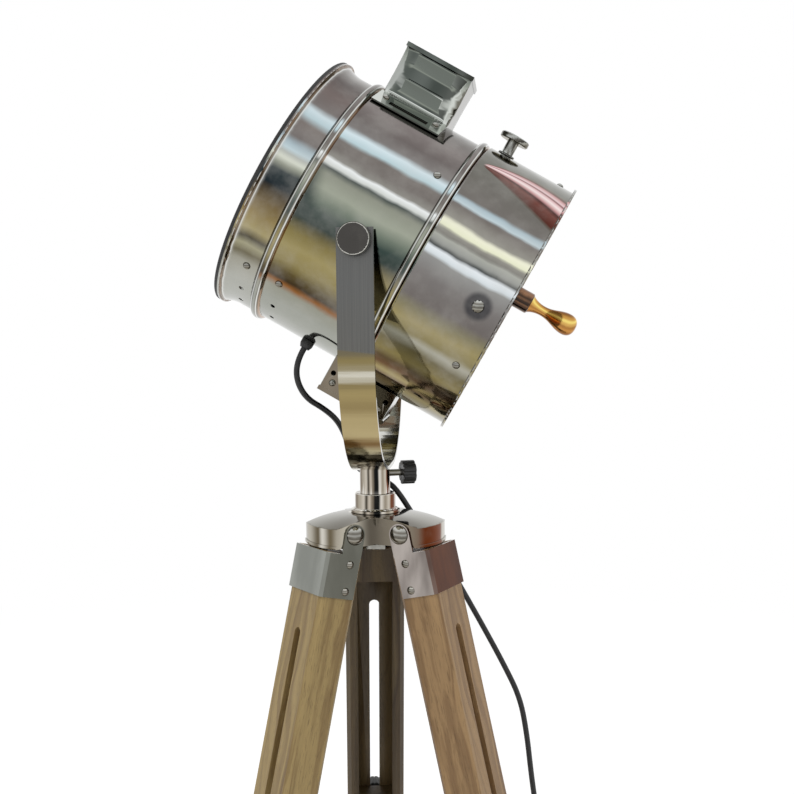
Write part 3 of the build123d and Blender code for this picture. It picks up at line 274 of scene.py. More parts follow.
def grid_mesh(name, corners, closed_u=False, closed_v=False):
    """Mesh over a grid of points of shape (rows, columns, 3): each cell is one quad, and a closed side joins
    its last points to its first."""
    rows, columns = corners.shape[:2]
    u = np.arange(rows if closed_u else rows - 1)
    v = np.arange(columns if closed_v else columns - 1)
    first, second = np.meshgrid(u, v, indexing="ij")
    after_u, after_v = (first + 1) % rows, (second + 1) % columns
    corner_rows = (first, after_u, after_u, first)
    corner_columns = (second, second, after_v, after_v)
    quads = [row * columns + column for row, column in zip(corner_rows, corner_columns)]
    quads = np.stack(quads, axis=-1).reshape(-1, 4)
    mesh = bpy.data.meshes.new(name)
    mesh.from_pydata(corners.reshape(-1, 3), [], quads)
    mesh.shade_smooth()
    return mesh


def carried_tube(name, path, radius, sides=16):
    """Round tube: at each point of the path, centre + radius * (cos v * side + sin v * top), where side is
    square to the path and to one fixed direction, and top is square to both."""
    path = np.asarray(path)
    ahead = np.gradient(path, axis=0)
    ahead /= np.linalg.norm(ahead, axis=1, keepdims=True)
    side = np.cross(ahead, ALONG + 0.13 * ACROSS)
    side /= np.linalg.norm(side, axis=1, keepdims=True)
    top = np.cross(ahead, side)
    v = np.linspace(0, 2 * pi, sides, endpoint=False)
    ring = np.cos(v)[:, None] * side[:, None] + np.sin(v)[:, None] * top[:, None]
    return grid_mesh(name, path[:, None] + radius * ring, closed_v=True)


MOST_TWIST = 0.12       # share of a face's normal that may point along its turn, on a face that runs round


def rows_of(items, attribute, width=3, kind=np.float32):
    """One attribute of all items of a mesh, as rows of width numbers."""
    values = np.empty(len(items) * width, kind)
    items.foreach_get(attribute, values)
    return values.reshape(-1, width)


def turned_normals(mesh, origin, axis):
    """Makes the shading of a turned piece round: each corner's normal keeps its lean along the axis, and the
    rest of it points straight out from the axis. Faces that don't run round the axis keep theirs."""
    normals = rows_of(mesh.corner_normals, "vector").astype(float)
    spots = rows_of(mesh.vertices, "co").astype(float)
    corner_vertex = rows_of(mesh.loops, "vertex_index", 1, np.int32)[:, 0]
    faces = rows_of(mesh.polygons, "normal").astype(float)
    middles = rows_of(mesh.polygons, "center").astype(float)
    sizes = rows_of(mesh.polygons, "loop_total", 1, np.int32)[:, 0]

    def outwards(points):
        away = points - origin
        away -= np.outer(away @ axis, axis)
        reach = np.linalg.norm(away, axis=1, keepdims=True)
        return away / np.maximum(reach, 1e-9), reach[:, 0]

    face_out, _ = outwards(middles)
    face_round = np.abs(np.einsum("ij,ij->i", faces, np.cross(axis, face_out))) < MOST_TWIST
    round_corner = np.repeat(face_round, sizes)
    face_lean = np.repeat(np.einsum("ij,ij->i", faces, face_out), sizes)
    out, reach = outwards(spots[corner_vertex])
    lean = np.clip(normals @ axis, -1, 1)
    round_normal = lean[:, None] * axis + (np.sign(face_lean) * np.sqrt(1 - lean**2))[:, None] * out
    use = round_corner & (reach > 1e-5)
    normals[use] = round_normal[use]
    mesh.normals_split_custom_set(normals)


def smooth_copy(name, node, material, crease=32, axis=None):
    """Copy of a CAD node, its doubles merged and shaded smooth up to a crease angle, weighted by face area.
    axis is (origin, direction) for a turned piece."""
    joined = bmesh.new()
    joined.from_mesh(NODES[node].data)
    bmesh.ops.remove_doubles(joined, verts=joined.verts, dist=2e-6)
    mesh = bpy.data.meshes.new(name)
    joined.to_mesh(mesh)
    joined.free()
    mesh.shade_smooth()
    mesh.set_sharp_from_angle(angle=radians(crease))
    made = piece(name, mesh, material, NODES[node]["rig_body"], [node])
    weighted = made.modifiers.new("even shading", "WEIGHTED_NORMAL")
    weighted.keep_sharp = True
    final = bpy.data.meshes.new_from_object(made.evaluated_get(bpy.context.evaluated_depsgraph_get()))
    made.modifiers.clear()
    made.data = final
    final.name = name
    if axis:
        turned_normals(final, *axis)
    return made


DRUM_AXIS = (DRUM_CENTRE, ALONG)
HANDLE_AXIS = (DRUM_CENTRE + UPWARD * HANDLE_RISE, ALONG)
STEM_AXIS = (np.zeros(3), np.array([0.0, 0.0, 1.0]))
PIVOT_AXIS = (PIVOT, ACROSS)


# ---------------------------------------------------------------- finishes
def drum_coordinates(f):
    """Distance along the drum, turn round it and distance from its axis."""
    spot = f.place()
    s = f.along(spot, ALONG, DRUM_CENTRE)
    up = f.along(spot, UPWARD, DRUM_CENTRE)
    side = f.along(spot, ACROSS, DRUM_CENTRE)
    return s, f.angle(up, side), (up * up + side * side) ** 0.5


def shown(red, green, blue):
    """Linear colour of a tone written as it looks on a screen, 0 to 255: the screen's own curve undone."""
    return tuple(((channel / 255 + 0.055) / 1.055) ** 2.4 for channel in (red, green, blue))


def stops_of(tones, full=1000.0):
    """Colour stops of a ramp, whose end stands at the place full."""
    return [(place / full, shown(*tone)) for place, *tone in tones]


# Painted reflection: tones that the polished sheet would mirror, painted into its colour in rows of place,
# red, green and blue. Places are in thousandths of a turn, from the drum's underside (0) to its top (500).
BODY_REFLECTION_TONES = [
    (0, 146, 149, 141), (105, 150, 152, 144), (128, 142, 142, 130), (137, 134, 88, 46), (144, 58, 46, 30),
    (156, 84, 72, 40), (170, 134, 122, 78), (190, 152, 140, 94), (207, 132, 120, 76), (218, 98, 92, 66),
    (226, 46, 58, 54), (240, 58, 72, 68), (252, 112, 122, 110), (266, 158, 163, 148), (284, 142, 145, 132),
    (291.5, 70, 78, 76), (294.5, 206, 210, 206), (301, 238, 242, 242), (304, 140, 138, 132),
    (315, 112, 106, 102), (329, 118, 112, 108), (334, 186, 208, 214), (344, 212, 228, 234),
    (352, 126, 122, 120), (372, 108, 101, 99), (400, 124, 116, 114), (430, 98, 92, 88), (460, 78, 74, 68),
    (500, 104, 102, 94),
]
FRONT_REFLECTION_TONES = [
    (0, 158, 160, 154), (105, 166, 167, 160), (140, 150, 148, 136), (152, 104, 98, 78), (164, 152, 148, 122),
    (174, 64, 58, 42), (186, 156, 144, 102), (205, 138, 120, 74), (222, 108, 90, 54), (236, 70, 60, 44),
    (244, 28, 38, 44), (262, 36, 50, 54), (269, 140, 144, 130), (276, 216, 220, 206), (283, 178, 182, 176),
    (289, 190, 208, 214), (296, 166, 184, 192), (304, 112, 106, 104), (325, 122, 114, 110),
    (334, 184, 204, 210), (343, 206, 222, 228), (352, 118, 112, 110), (380, 116, 105, 102), (415, 90, 82, 80),
    (450, 122, 118, 114), (500, 98, 94, 90),
]
COVER_REFLECTION_TONES = [
    (0, 132, 132, 122), (50, 116, 108, 82), (72, 152, 138, 88), (86, 100, 76, 46), (96, 152, 136, 86),
    (108, 96, 68, 40), (120, 84, 68, 44), (132, 124, 112, 70), (150, 100, 92, 64), (163, 158, 156, 142),
    (171, 126, 116, 78), (186, 146, 134, 90), (200, 124, 118, 92), (212, 108, 102, 99), (238, 122, 118, 116),
    (260, 146, 146, 144), (264, 214, 222, 226), (270, 228, 234, 238), (273.5, 64, 68, 68),
    (278, 150, 152, 148), (285.5, 168, 170, 162), (288, 122, 120, 114), (294, 146, 144, 136),
    (297, 236, 238, 208), (304, 242, 242, 218), (308, 146, 144, 136), (326, 114, 108, 104),
    (330, 192, 208, 214), (337, 172, 190, 198), (341, 116, 112, 108), (380, 108, 106, 100),
    (500, 118, 120, 110),
]
ROSE_REFLECTION_TONES = [
    (0, 98, 90, 82), (60, 86, 46, 38), (300, 114, 68, 60), (400, 70, 34, 30), (470, 196, 148, 148),
    (580, 246, 228, 226), (660, 224, 186, 188), (710, 124, 70, 70), (760, 234, 204, 206),
    (850, 206, 156, 156), (910, 98, 58, 50), (1000, 118, 114, 102),
]
# painted reflection on beads and rims, from a face that looks to the drum's front (0) to one that looks to
# its rear (1000)
RIDGE_REFLECTION_TONES = [
    (0, 84, 78, 70), (140, 58, 54, 48), (260, 206, 208, 204), (360, 66, 62, 56), (460, 140, 138, 130),
    (540, 54, 50, 44), (660, 112, 108, 100), (740, 232, 234, 232), (840, 96, 80, 60), (1000, 176, 132, 92),
]


HALO = (5.2 * MM, 8.0 * MM, 4.8 * MM)  # inner and outer radius round the screw, and how softly it ends
PLAIN_LEAN = (0.12, 0.34)  # leans along the drum at which a bead's tones start and take over
RIM_LEAN = (0.34, 0.55)
WEDGE = (0.232, 0.287, 0.006)  # painted dark reflection that narrows towards the rear, as shares of a turn


def cover_marks(f, spot, s, turn, below, colour):
    """Dark halo round the cover's screw, and the painted pink reflection between a line and a parabola in s.
    """
    around = f.length(f.vector("SUBTRACT", spot, tuple(HALO_SCREW)))
    colour = f.mix(around.within(*HALO) * 0.85, colour, shown(54, 54, 58))
    lower = 0.431 - s * 0.60
    upper = 0.429 - ((s - 0.098) / 0.046) ** 2.0 * 0.024
    share = (below - lower) / (upper - lower)
    # painted pink reflection
    light = f.ramp(share, stops_of(ROSE_REFLECTION_TONES), "LINEAR")
    return f.mix(share.within(0.0, 1.0, 0.04) * s.over(0.052, 0.056) * (turn < 0.5), colour, light)


def drum_chrome(look, name, tones, leans):
    """Bright sheet whose mirror tones are painted: streaks of painted reflection run along the drum as its
    mirror would draw them out. Beads and rims, which lean towards either end of the drum, show a painted dark
    line and a painted highlight."""
    f = Finish(name)
    s, turn, reach = drum_coordinates(f)
    spot = f.place()
    below = 0.5 - abs(turn - 0.5)
    drift = (f.noise(f.gather(s * 16.0, turn * 12.0, 0.0), 1.0, 2.0) - 0.5) * 0.010
    ragged = (f.noise(f.gather(s * 60.0, turn * 60.0, 0.0), 1.0, 2.0) - 0.5) * 0.004
    # painted reflection: bands of tone round the drum, with ragged edges
    bands = f.ramp((below + drift + ragged) * 2.0, stops_of(tones, 500.0), "LINEAR")
    # painted dark reflection, a wedge that narrows towards the rear
    wedge = below.within(*WEDGE) * (1.0 - (below * 2.2 + s * 9.0).over(0.10, 0.24))
    behind_bead = (1.0 - s.over(-0.052, -0.046) * 0.15) * s.over(-0.053, -0.05)
    colour = f.mix(wedge * behind_bead, bands, shown(44, 58, 56))
    if tones is COVER_REFLECTION_TONES:
        colour = cover_marks(f, spot, s, turn, below, colour)
    lean = f.facing(ALONG)
    # painted dark line and painted highlight on beads and rims, by how far the surface leans along the drum
    colour = f.mix(abs(lean).over(*leans) * 0.85, colour, f.ramp(lean * 0.5 + 0.5, stops_of(RIDGE_REFLECTION_TONES)))
    haze = f.noise(spot, 55.0, 4.0)
    cloud = f.noise(spot, 34.0, 4.0, 0.6)
    colour = f.mix(cloud.over(0.35, 0.8) * 0.22, colour, tuple(look.chrome_tint))
    marks = f.noise(f.gather(s * 900.0, turn * 40.0, reach * 300.0), 1.0, 2.0)
    return f.metal(colour, haze.over(0.3, 0.8) * 0.07 + look.chrome_polish, f.relief(marks, 0.000012, 0.5))


# painted reflection round the stem and the crown, seen from behind: 250 is the left side, 500 the front and
# 750 the right
STEM_REFLECTION_TONES = [
    (0, 120, 112, 100), (220, 150, 142, 128), (280, 206, 202, 192), (330, 112, 98, 80), (380, 168, 160, 146),
    (420, 196, 188, 176), (445, 72, 66, 56), (470, 190, 180, 166), (495, 120, 110, 96), (515, 28, 28, 28),
    (545, 20, 22, 22), (565, 214, 208, 198), (600, 150, 140, 124), (635, 196, 188, 174), (660, 108, 60, 34),
    (700, 96, 48, 22), (725, 196, 186, 172), (760, 150, 140, 128), (1000, 120, 112, 100),
]
DOME_REFLECTION_TONES = [
    (0, 130, 126, 118), (200, 140, 138, 128), (320, 132, 130, 120), (420, 108, 104, 94), (500, 150, 146, 138),
    (600, 110, 106, 98), (700, 146, 144, 136), (1000, 130, 126, 118),
]
WALL_REFLECTION_TONES = [
    (0, 110, 104, 92), (200, 186, 182, 172), (270, 142, 136, 122), (330, 166, 160, 146), (370, 96, 86, 66),
    (385, 206, 202, 192), (410, 104, 94, 74), (440, 180, 174, 160), (500, 90, 84, 74), (600, 128, 120, 106),
    (640, 96, 44, 16), (700, 110, 54, 22), (715, 190, 184, 174), (770, 170, 164, 152), (1000, 110, 104, 92),
]
ROOM_REFLECTION_TONES = [
    (0, 128, 120, 96), (120, 150, 142, 112), (240, 66, 58, 42), (360, 110, 104, 92), (450, 176, 176, 170),
    (500, 54, 52, 48), (570, 92, 90, 86), (660, 188, 192, 192), (740, 110, 108, 104), (880, 238, 244, 246),
    (1000, 176, 180, 182),
]


def plain_metal(name, tint, depth, roughness, scale=60.0, coat=0.0, contrast=1.0):
    """Polished metal with a painted reflection of a room, as small parts would pick it up: pale overhead,
    dark at eye level and warm below. tint is the metal's own colour and depth darkens it where a slow noise
    is low."""
    f = Finish(name)
    spot = f.place()
    tone = f.noise(spot, scale, 4.0, 0.6)
    fine = f.noise(spot, scale * 9, 2.0)
    # painted reflection of the room, by how far the surface faces up
    room = f.ramp(f.facing((0.1, -0.25, 0.96)) * 0.5 + 0.5 + (tone - 0.5) * 0.10, stops_of(ROOM_REFLECTION_TONES))
    mirrored = f.mix(1.0, f.mix(1.0 - contrast, room, shown(140, 138, 132)), tint, "MULTIPLY")
    return f.metal(
        f.mix(tone.over(0.75, 0.3) * depth, mirrored, (0.02, 0.018, 0.015)),
        tone.over(0.25, 0.8) * (roughness * 0.5) + roughness,
        f.relief(fine, 0.00002, 0.4),
        Coat_Weight=coat,
    )


def brushed_strap():
    """Yoke: dark brushed arms that turn into a bright bend at the bottom, its painted reflection banded in
    tan and olive, with painted highlights on the inner faces, on faces that look to the rear and at the foot
    of the bend.
    """
    f = Finish("strap_steel")
    spot = f.place()
    height = f.along(spot, (0, 0, 1))
    line = f.noise(spot, (1900.0, 400.0, 12.0), 3.0)
    cloud = f.noise(spot, 24.0, 3.0)
    streaks = f.noise(spot, (9.0, 9.0, 420.0), 4.0, 0.7)
    arm = f.mix(line, shown(78, 77, 74), shown(124, 123, 118))
    arm = f.mix((height * 4.0 - 2.2 + cloud * 0.6).over(0.0, 0.6) * 0.5, arm, shown(104, 106, 108))
    # painted reflection in bands across the bend
    bend = f.ramp(
        (height - 0.452) / 0.104 + (streaks - 0.5) * 0.07,
        stops_of([
            (0, 196, 192, 180), (60, 120, 116, 98), (100, 78, 72, 54), (140, 150, 144, 122),
            (190, 92, 84, 60), (250, 166, 154, 120), (310, 122, 96, 60), (380, 174, 158, 118),
            (500, 166, 150, 110), (600, 138, 122, 84), (700, 150, 134, 92), (760, 132, 118, 82),
            (800, 176, 170, 152), (840, 204, 200, 186), (880, 150, 140, 112), (940, 136, 122, 82),
            (1000, 112, 104, 84),
        ]),
    )
    raised = (height + f.along(spot, (1, 0, 0)) * 0.12).over(0.5555, 0.5575)
    # painted highlight on faces that look towards the drum's rear
    edge = f.facing(ALONG * 0.86 + UPWARD * 0.5).over(0.4, 0.9) * 0.7
    side = f.along(spot, (0, 1, 0))
    # painted pale reflection on the arms' inner faces and on faces that look up
    faces_drum = (side * f.facing((0, -1, 0))).over(0.002, 0.010)
    inwards = (faces_drum + f.facing((0, 0, 1)).over(0.3, 0.7)).over(0.0, 1.0)
    inner = f.mix(cloud, shown(176, 176, 170), shown(236, 236, 230))
    colour = f.mix(inwards * (1.0 - raised), f.mix(raised, bend, arm), inner)
    # painted pale reflection at the foot of the bend
    foot = 1.0 - height.over(0.458, 0.482)
    colour = f.mix(foot * 0.6, colour, shown(214, 208, 190))
    colour = f.mix(edge, colour, shown(176, 176, 172))
    return f.metal(colour, raised * (0.20 + line * 0.10) + 0.09, f.relief(line, 0.00002, 0.5))


def leaning_tones(name, direction, tones, roughness, scale, depth=0.3):
    """Polished metal with painted reflection: its tone follows how far it faces one direction."""
    f = Finish(name)
    cloud = f.noise(f.place(), scale, 4.0, 0.6)
    tone = f.ramp(f.facing(direction) * 0.5 + 0.5 + (cloud - 0.5) * 0.08, stops_of(tones))
    fine = f.noise(f.place(), scale * 9.0, 2.0)
    return f.metal(
        f.mix(cloud.over(0.7, 0.3) * depth, tone, (0.05, 0.048, 0.042)),
        cloud.over(0.3, 0.8) * 0.06 + roughness,
        f.relief(fine, 0.00001, 0.4),
    )


PLATE_REACH = 105.0 * MM


def rear_mirror():
    """Recessed rear plate and the lens' ring: a dim mirror with painted reflection, a copper band of it low
    down, behind the handle.
    """
    f = Finish("mirror_plate")
    spot = f.place()
    up = f.along(spot, UPWARD, DRUM_CENTRE)
    cloud = f.noise(spot, (14.0, 30.0, 14.0), 3.0)
    # painted reflection, in bands by height across the plate
    tone = f.ramp(
        up / (2 * PLATE_REACH) + 0.5 + (cloud - 0.5) * 0.10,
        stops_of([
            (0, 128, 124, 120), (180, 96, 92, 88), (340, 150, 84, 40), (440, 206, 138, 66), (520, 84, 56, 34),
            (620, 150, 128, 98), (750, 176, 172, 164), (880, 120, 118, 114), (1000, 150, 150, 150),
        ]),
    )
    return f.metal(tone, cloud * 0.08 + 0.06, f.relief(f.noise(spot, 500.0, 2.0), 0.00001, 0.4))


def vent_mirror():
    """Vent boxes: grey-green painted reflection, with a painted highlight where the sheet faces up and
    painted shade under its hoods.
    """
    f = Finish("vent_mirror")
    spot = f.place()
    up = f.along(spot, UPWARD, DRUM_CENTRE)
    s = f.along(spot, ALONG, DRUM_CENTRE)
    cloud = f.noise(f.gather(s * 40.0, up * 22.0, 0.0), 1.0, 3.0)
    # painted reflection and painted shade of the hoods, in bands along the drum
    face = f.ramp(
        s * 12.0 + 0.75 + (cloud - 0.5) * 0.30,
        stops_of([
            (0, 58, 64, 60), (150, 104, 110, 104), (300, 82, 88, 84), (450, 96, 102, 98), (600, 70, 76, 72),
            (740, 88, 92, 88), (860, 56, 58, 54), (1000, 46, 48, 44),
        ]),
    )
    # painted reflection in browns on the lower box
    face = f.mix(up.over(-0.02, 0.02), f.mix(cloud, shown(98, 88, 76), shown(142, 132, 116)), face)
    # painted highlight where the sheet faces up
    leaning = f.ramp(
        f.facing(UPWARD) * 0.5 + 0.5,
        stops_of([
            (0, 60, 60, 56), (250, 84, 86, 80), (360, 108, 114, 108), (420, 146, 152, 142),
            (500, 96, 102, 98), (600, 224, 228, 224), (720, 150, 156, 150), (880, 206, 210, 204),
            (1000, 196, 200, 194),
        ]),
    )
    # painted reflection on faces that look along the drum
    along = f.ramp(
        f.facing(ALONG) * 0.5 + 0.5,
        stops_of([
            (0, 150, 154, 148), (200, 170, 174, 170), (500, 96, 102, 96), (800, 206, 210, 204),
            (930, 110, 108, 98), (1000, 92, 90, 80),
        ]),
    )
    colour = f.mix(abs(f.facing(ALONG)).over(0.12, 0.5), face, along)
    colour = f.mix(abs(f.facing(UPWARD)).over(0.06, 0.24), colour, leaning)
    return f.metal(colour, cloud * 0.06 + 0.05, f.relief(f.noise(spot, 160.0, 3.0), 0.00002, 0.4))


def gilt_brass():
    """Rear handle: warm brass with a painted highlight along its upper side and painted shade below it."""
    tones = [
        (0, 84, 46, 18), (200, 150, 98, 46), (380, 196, 140, 74), (520, 172, 120, 62), (660, 222, 176, 96),
        (780, 255, 228, 128), (880, 210, 158, 80), (1000, 132, 84, 36),
    ]
    return leaning_tones("gilt_brass", (0.25, -0.35, 0.90), tones, 0.14, 45.0, 0.12)


def knob_face():
    """Tilt knobs: painted reflection, a dark flat face inside a turned edge with a painted pale highlight."""
    tones = [
        (0, 74, 72, 70), (30, 86, 84, 80), (100, 196, 196, 190), (250, 110, 106, 98), (500, 150, 148, 142),
        (750, 84, 80, 74), (900, 208, 208, 204), (970, 96, 94, 91), (1000, 84, 82, 80),
    ]
    return leaning_tones("knob_face", (0.0, 1.0, 0.0), tones, 0.16, 70.0, 0.2)


def ferrule_sheet(key):
    """Sheet round the top of a leg with painted reflection: each flat face shows another part of the room,
    and its top edge a painted highlight.
    """
    f = Finish(f"ferrule_steel_{key}")
    azimuth = radians(LEG_AZIMUTHS[key])
    out = f.facing((cos(azimuth), sin(azimuth), 0.0)).over(0.45, 0.85)
    spot = f.place()
    cloud = f.noise(spot, (40.0, 40.0, 12.0), 3.0)
    # painted reflection: dim and bright tones of each leg's outer face and flanks
    faces = {
        "left": ((128, 130, 124), (152, 154, 148), (96, 96, 88), (112, 112, 104)),
        "right": ((64, 28, 6), (92, 46, 12), (104, 96, 92), (176, 168, 162)),
        "rear": ((80, 76, 68), (104, 100, 92), (60, 54, 46), (84, 76, 66)),
    }[key]
    dim, bright, dim_flank, bright_flank = (shown(*tone) for tone in faces)
    share = cloud.over(0.3, 0.7)
    # painted highlight where the sheet faces up
    edge = f.facing((0.0, 0.0, 1.0)).over(0.5, 0.9)
    colour = f.mix(out, f.mix(share, dim_flank, bright_flank), f.mix(share, dim, bright))
    relief = f.relief(f.noise(spot, 300.0, 2.0), 0.00001, 0.4)
    return f.metal(f.mix(edge, colour, shown(214, 212, 206)), cloud * 0.06 + 0.10, relief)


def stem_chrome():
    """Stem and crown: painted reflection in tones by the turn round the stem, and a painted highlight on the
    fillet where the stem meets the crown.
    """
    f = Finish("stem_chrome")
    spot = f.place()
    turn = f.angle(f.along(spot, (0, -1, 0)), f.along(spot, (1, 0, 0)))
    tables = ((STEM_REFLECTION_TONES, 30.0, 0.012), (DOME_REFLECTION_TONES, 20.0, 0.02), (WALL_REFLECTION_TONES, 26.0, 0.012))
    bands, dome, wall = (
        f.ramp(turn + (f.noise(spot, scale, 2.0) - 0.5) * drift, stops_of(tones))
        for tones, scale, drift in tables
    )
    upwards = f.facing((0.0, 0.0, 1.0))
    on_crown = f.length(f.vector("MULTIPLY", spot, (1.0, 1.0, 0.0))).over(21.5 * MM, 23.5 * MM)
    # painted reflection: the crown takes the dome's tones where it faces up and the wall's elsewhere
    colour = f.mix(on_crown, bands, f.mix(upwards.over(0.30, 0.75), wall, dome))
    # painted highlight on the fillet, where it faces partly up
    fillet = upwards.within(0.25, 0.60, 0.10) * (1.0 - on_crown)
    colour = f.mix(fillet * 0.8, colour, shown(236, 234, 228))
    haze = f.noise(spot, 60.0, 3.0)
    return f.metal(
        f.mix(haze.over(0.5, 0.9) * 0.15, colour, shown(150, 142, 130)),
        haze.over(0.3, 0.8) * 0.06 + 0.06,
        f.relief(f.noise(spot, 700.0, 2.0), 0.00001, 0.3),
    )


def black_moulding(name, colour, roughness, scale=900.0):
    f = Finish(name)
    spot = f.place()
    grain = f.noise(spot, scale, 2.0)
    wear = f.noise(spot, 70.0, 4.0)
    lighter = tuple(channel * 1.9 + 0.006 for channel in colour)
    return f.surface(
        Base_Color=f.mix(wear.over(0.45, 0.8), colour, lighter),
        Roughness=wear.over(0.3, 0.8) * 0.14 + roughness,
        Normal=f.relief(grain, 0.00003, 0.35),
    )


def clear_glass(name, tint, roughness):
    f = Finish(name)
    film = f.noise(f.place(), 18.0, 3.0)
    return f.surface(
        Base_Color=f.mix(film, tint, (1.0, 1.0, 1.0)),
        Roughness=film.over(0.4, 0.8) * 0.03 + roughness,
        IOR=1.45,
        Transmission_Weight=1.0,
    )


def spun_reflector():
    """Aluminium dish with the fine rings that spinning leaves."""
    f = Finish("reflector_aluminium")
    s, turn, reach = drum_coordinates(f)
    rings = f.noise(f.gather(reach * 2600.0, s * 2600.0, turn * 3.0), 1.0, 2.0)
    cloud = f.noise(f.place(), 30.0, 3.0)
    colour = f.mix(cloud, (0.66, 0.67, 0.68), (0.88, 0.88, 0.87))
    return f.metal(colour, rings * 0.10 + 0.13, f.relief(rings, 0.00001, 0.5))


def porcelain():
    f = Finish("holder_porcelain")
    glaze = f.noise(f.place(), 60.0, 3.0)
    return f.surface(
        Base_Color=f.mix(glaze, (0.80, 0.79, 0.74), (0.90, 0.89, 0.86)), Roughness=glaze * 0.15 + 0.15,
    )


def timber(name, key, look, shade, pink):
    """Leg wood: growth rings stretched down the leg and dark pores. shade is painted shade that dims it and
    pink warms its tone.
    """
    f = Finish(name)
    azimuth = radians(LEG_AZIMUTHS[key])
    lean = radians(LEG_SPLAY)
    out = np.array([cos(azimuth), sin(azimuth), 0.0])
    down = out * sin(lean) - np.array([0.0, 0.0, cos(lean)])
    outer = out * cos(lean) + np.array([0.0, 0.0, sin(lean)])
    cross = np.cross(down, outer)
    hinge = out * HINGE_RADIUS + np.array([0.0, 0.0, HINGE_HEIGHT])
    spot = f.place()
    length = f.along(spot, down, hinge)
    width = f.along(spot, cross, hinge)
    depth = f.along(spot, outer, hinge)
    warp = f.noise(f.gather(length * 5.0, width * 22.0, depth * 22.0), 1.0, 2.0) - 0.5
    rings = f.noise(f.gather(length * 3.5, width * 110.0 + warp * 5.0, depth * 90.0), 1.0, 4.0, 0.6)
    fibre = f.noise(f.gather(length * 45.0, width * 1500.0, depth * 1500.0), 1.0, 3.0)
    pores = f.noise(f.gather(length * 110.0, width * 2600.0, depth * 2600.0), 1.0, 1.0).over(0.62, 0.72)
    light, dark = np.array(look.wood_light), np.array(look.wood_dark)
    blush = np.array([1.0 + 0.04 * pink, 1.0 - 0.10 * pink, 1.0 + 0.02 * pink])
    tones = [(0.32, dark * shade * blush), (0.44, (light * 0.45 + dark * 0.55) * shade * blush),
             (0.56, light * shade * blush), (0.74, light * 1.2 * shade * blush)]
    grain = f.ramp(rings, [(place, tuple(np.clip(tone, 0, 1))) for place, tone in tones])
    shaded = f.mix(fibre * 0.35, grain, tuple(dark * shade))
    colour = f.mix(pores * 0.55, shaded, tuple(dark * 0.45 * shade))
    return f.surface(
        Base_Color=colour,
        Roughness=rings * 0.14 + 0.40,
        Normal=f.relief(fibre * 0.5 + rings * 0.5 - pores * 0.6, 0.00016, 0.6),
    )


def cord_cover(diameter):
    """Black flex: smooth sheath with a faint lengthwise sheen and scuffs."""
    f = Finish("cord_black")
    spot = f.place()
    scuff = f.noise(spot, 160.0, 3.0)
    fine = f.noise(spot, 5.0 / diameter, 2.0)
    return f.surface(
        Base_Color=f.mix(scuff.over(0.5, 0.8), (0.007, 0.007, 0.008), (0.020, 0.019, 0.018)),
        Roughness=scuff * 0.2 + 0.32,
        Normal=f.relief(fine, 0.00003, 0.3),
    )


# ---------------------------------------------------------------- settings
class LampFinishSettings(bpy.types.PropertyGroup):
    chrome_tint: FloatVectorProperty(
        name="Chrome tint", description="Tone of the polished sheet between its bands",
        default=(0.52, 0.51, 0.48), subtype="COLOR", min=0.0, max=1.0,
    )
    chrome_polish: FloatProperty(
        name="Chrome polish", description="Roughness of the best polished sheet", default=0.05,
        min=0.0, max=1.0,
    )
    wood_light: FloatVectorProperty(
        name="Light wood", description="Pale tone of the legs", default=(0.52, 0.375, 0.155), subtype="COLOR",
        min=0.0, max=1.0,
    )
    wood_dark: FloatVectorProperty(
        name="Dark wood", description="Tone of the legs' late growth", default=(0.20, 0.115, 0.036),
        subtype="COLOR", min=0.0, max=1.0,
    )


class LampLeadSettings(bpy.types.PropertyGroup):
    diameter: FloatProperty(
        name="Lead diameter", description="Diameter of the mains lead", default=5.0 * MM, subtype="DISTANCE",
        unit="LENGTH",
    )
    coil_half_turns: IntProperty(
        name="Half turns", description="Half turns in each layer of the coiled end", default=5, min=1,
    )


class LampStageSettings(bpy.types.PropertyGroup):
    floor_colour: FloatVectorProperty(
        name="Floor", description="Colour of the floor", default=(0.90, 0.90, 0.89), subtype="COLOR",
        min=0.0, max=1.0,
    )
    floor_glow: FloatProperty(
        name="Floor glow", description="Light that the floor near the lamp shows of its own", default=0.48,
    )
    key_power: FloatProperty(
        name="Key light", description="Power of the large soft light", default=14.0, unit="POWER",
    )
    fill_power: FloatProperty(
        name="Fill light", description="Power of the side lights", default=5.0, unit="POWER",
    )
    world_strength: FloatProperty(
        name="Room", description="Strength of the even light of the room", default=0.55,
    )


# ---------------------------------------------------------------- operators
class LAMP_OT_shell(bpy.types.Operator):
    """Polished drum, front ring, rear cover, lens and its gasket"""

    bl_idname = "lamp.shell"
    bl_label = "Shell"

    def execute(self, context):
        look = context.scene.lamp_finish
        for node, tones, leans in (
            ("drum_body", BODY_REFLECTION_TONES, PLAIN_LEAN),
            ("front_ring", FRONT_REFLECTION_TONES, RIM_LEAN),
            ("rear_cover", COVER_REFLECTION_TONES, PLAIN_LEAN),
        ):
            chrome = drum_chrome(look, f"{node}_chrome", tones, leans)
            smooth_copy(f"{node}_sheet", node, chrome, axis=DRUM_AXIS)
        mirror = rear_mirror()
        rubber = black_moulding("black_rubber", (0.02, 0.02, 0.02), 0.55)
        glass = clear_glass("lens_glass", (0.96, 0.985, 0.98), 0.01)
        for name, node, material, slot in (
            ("retaining_ring_sheet", "retaining_ring", mirror, "mirror_plate"),
            ("rear_plate_sheet", "rear_plate", mirror, "mirror_plate"),
            ("lens_gasket_ring", "lens_gasket", rubber, "black_rubber"),
            ("lens_disc", "glass_lens", glass, "lens_glass"),
        ):
            smooth_copy(name, node, material, axis=DRUM_AXIS)
        return {"FINISHED"}


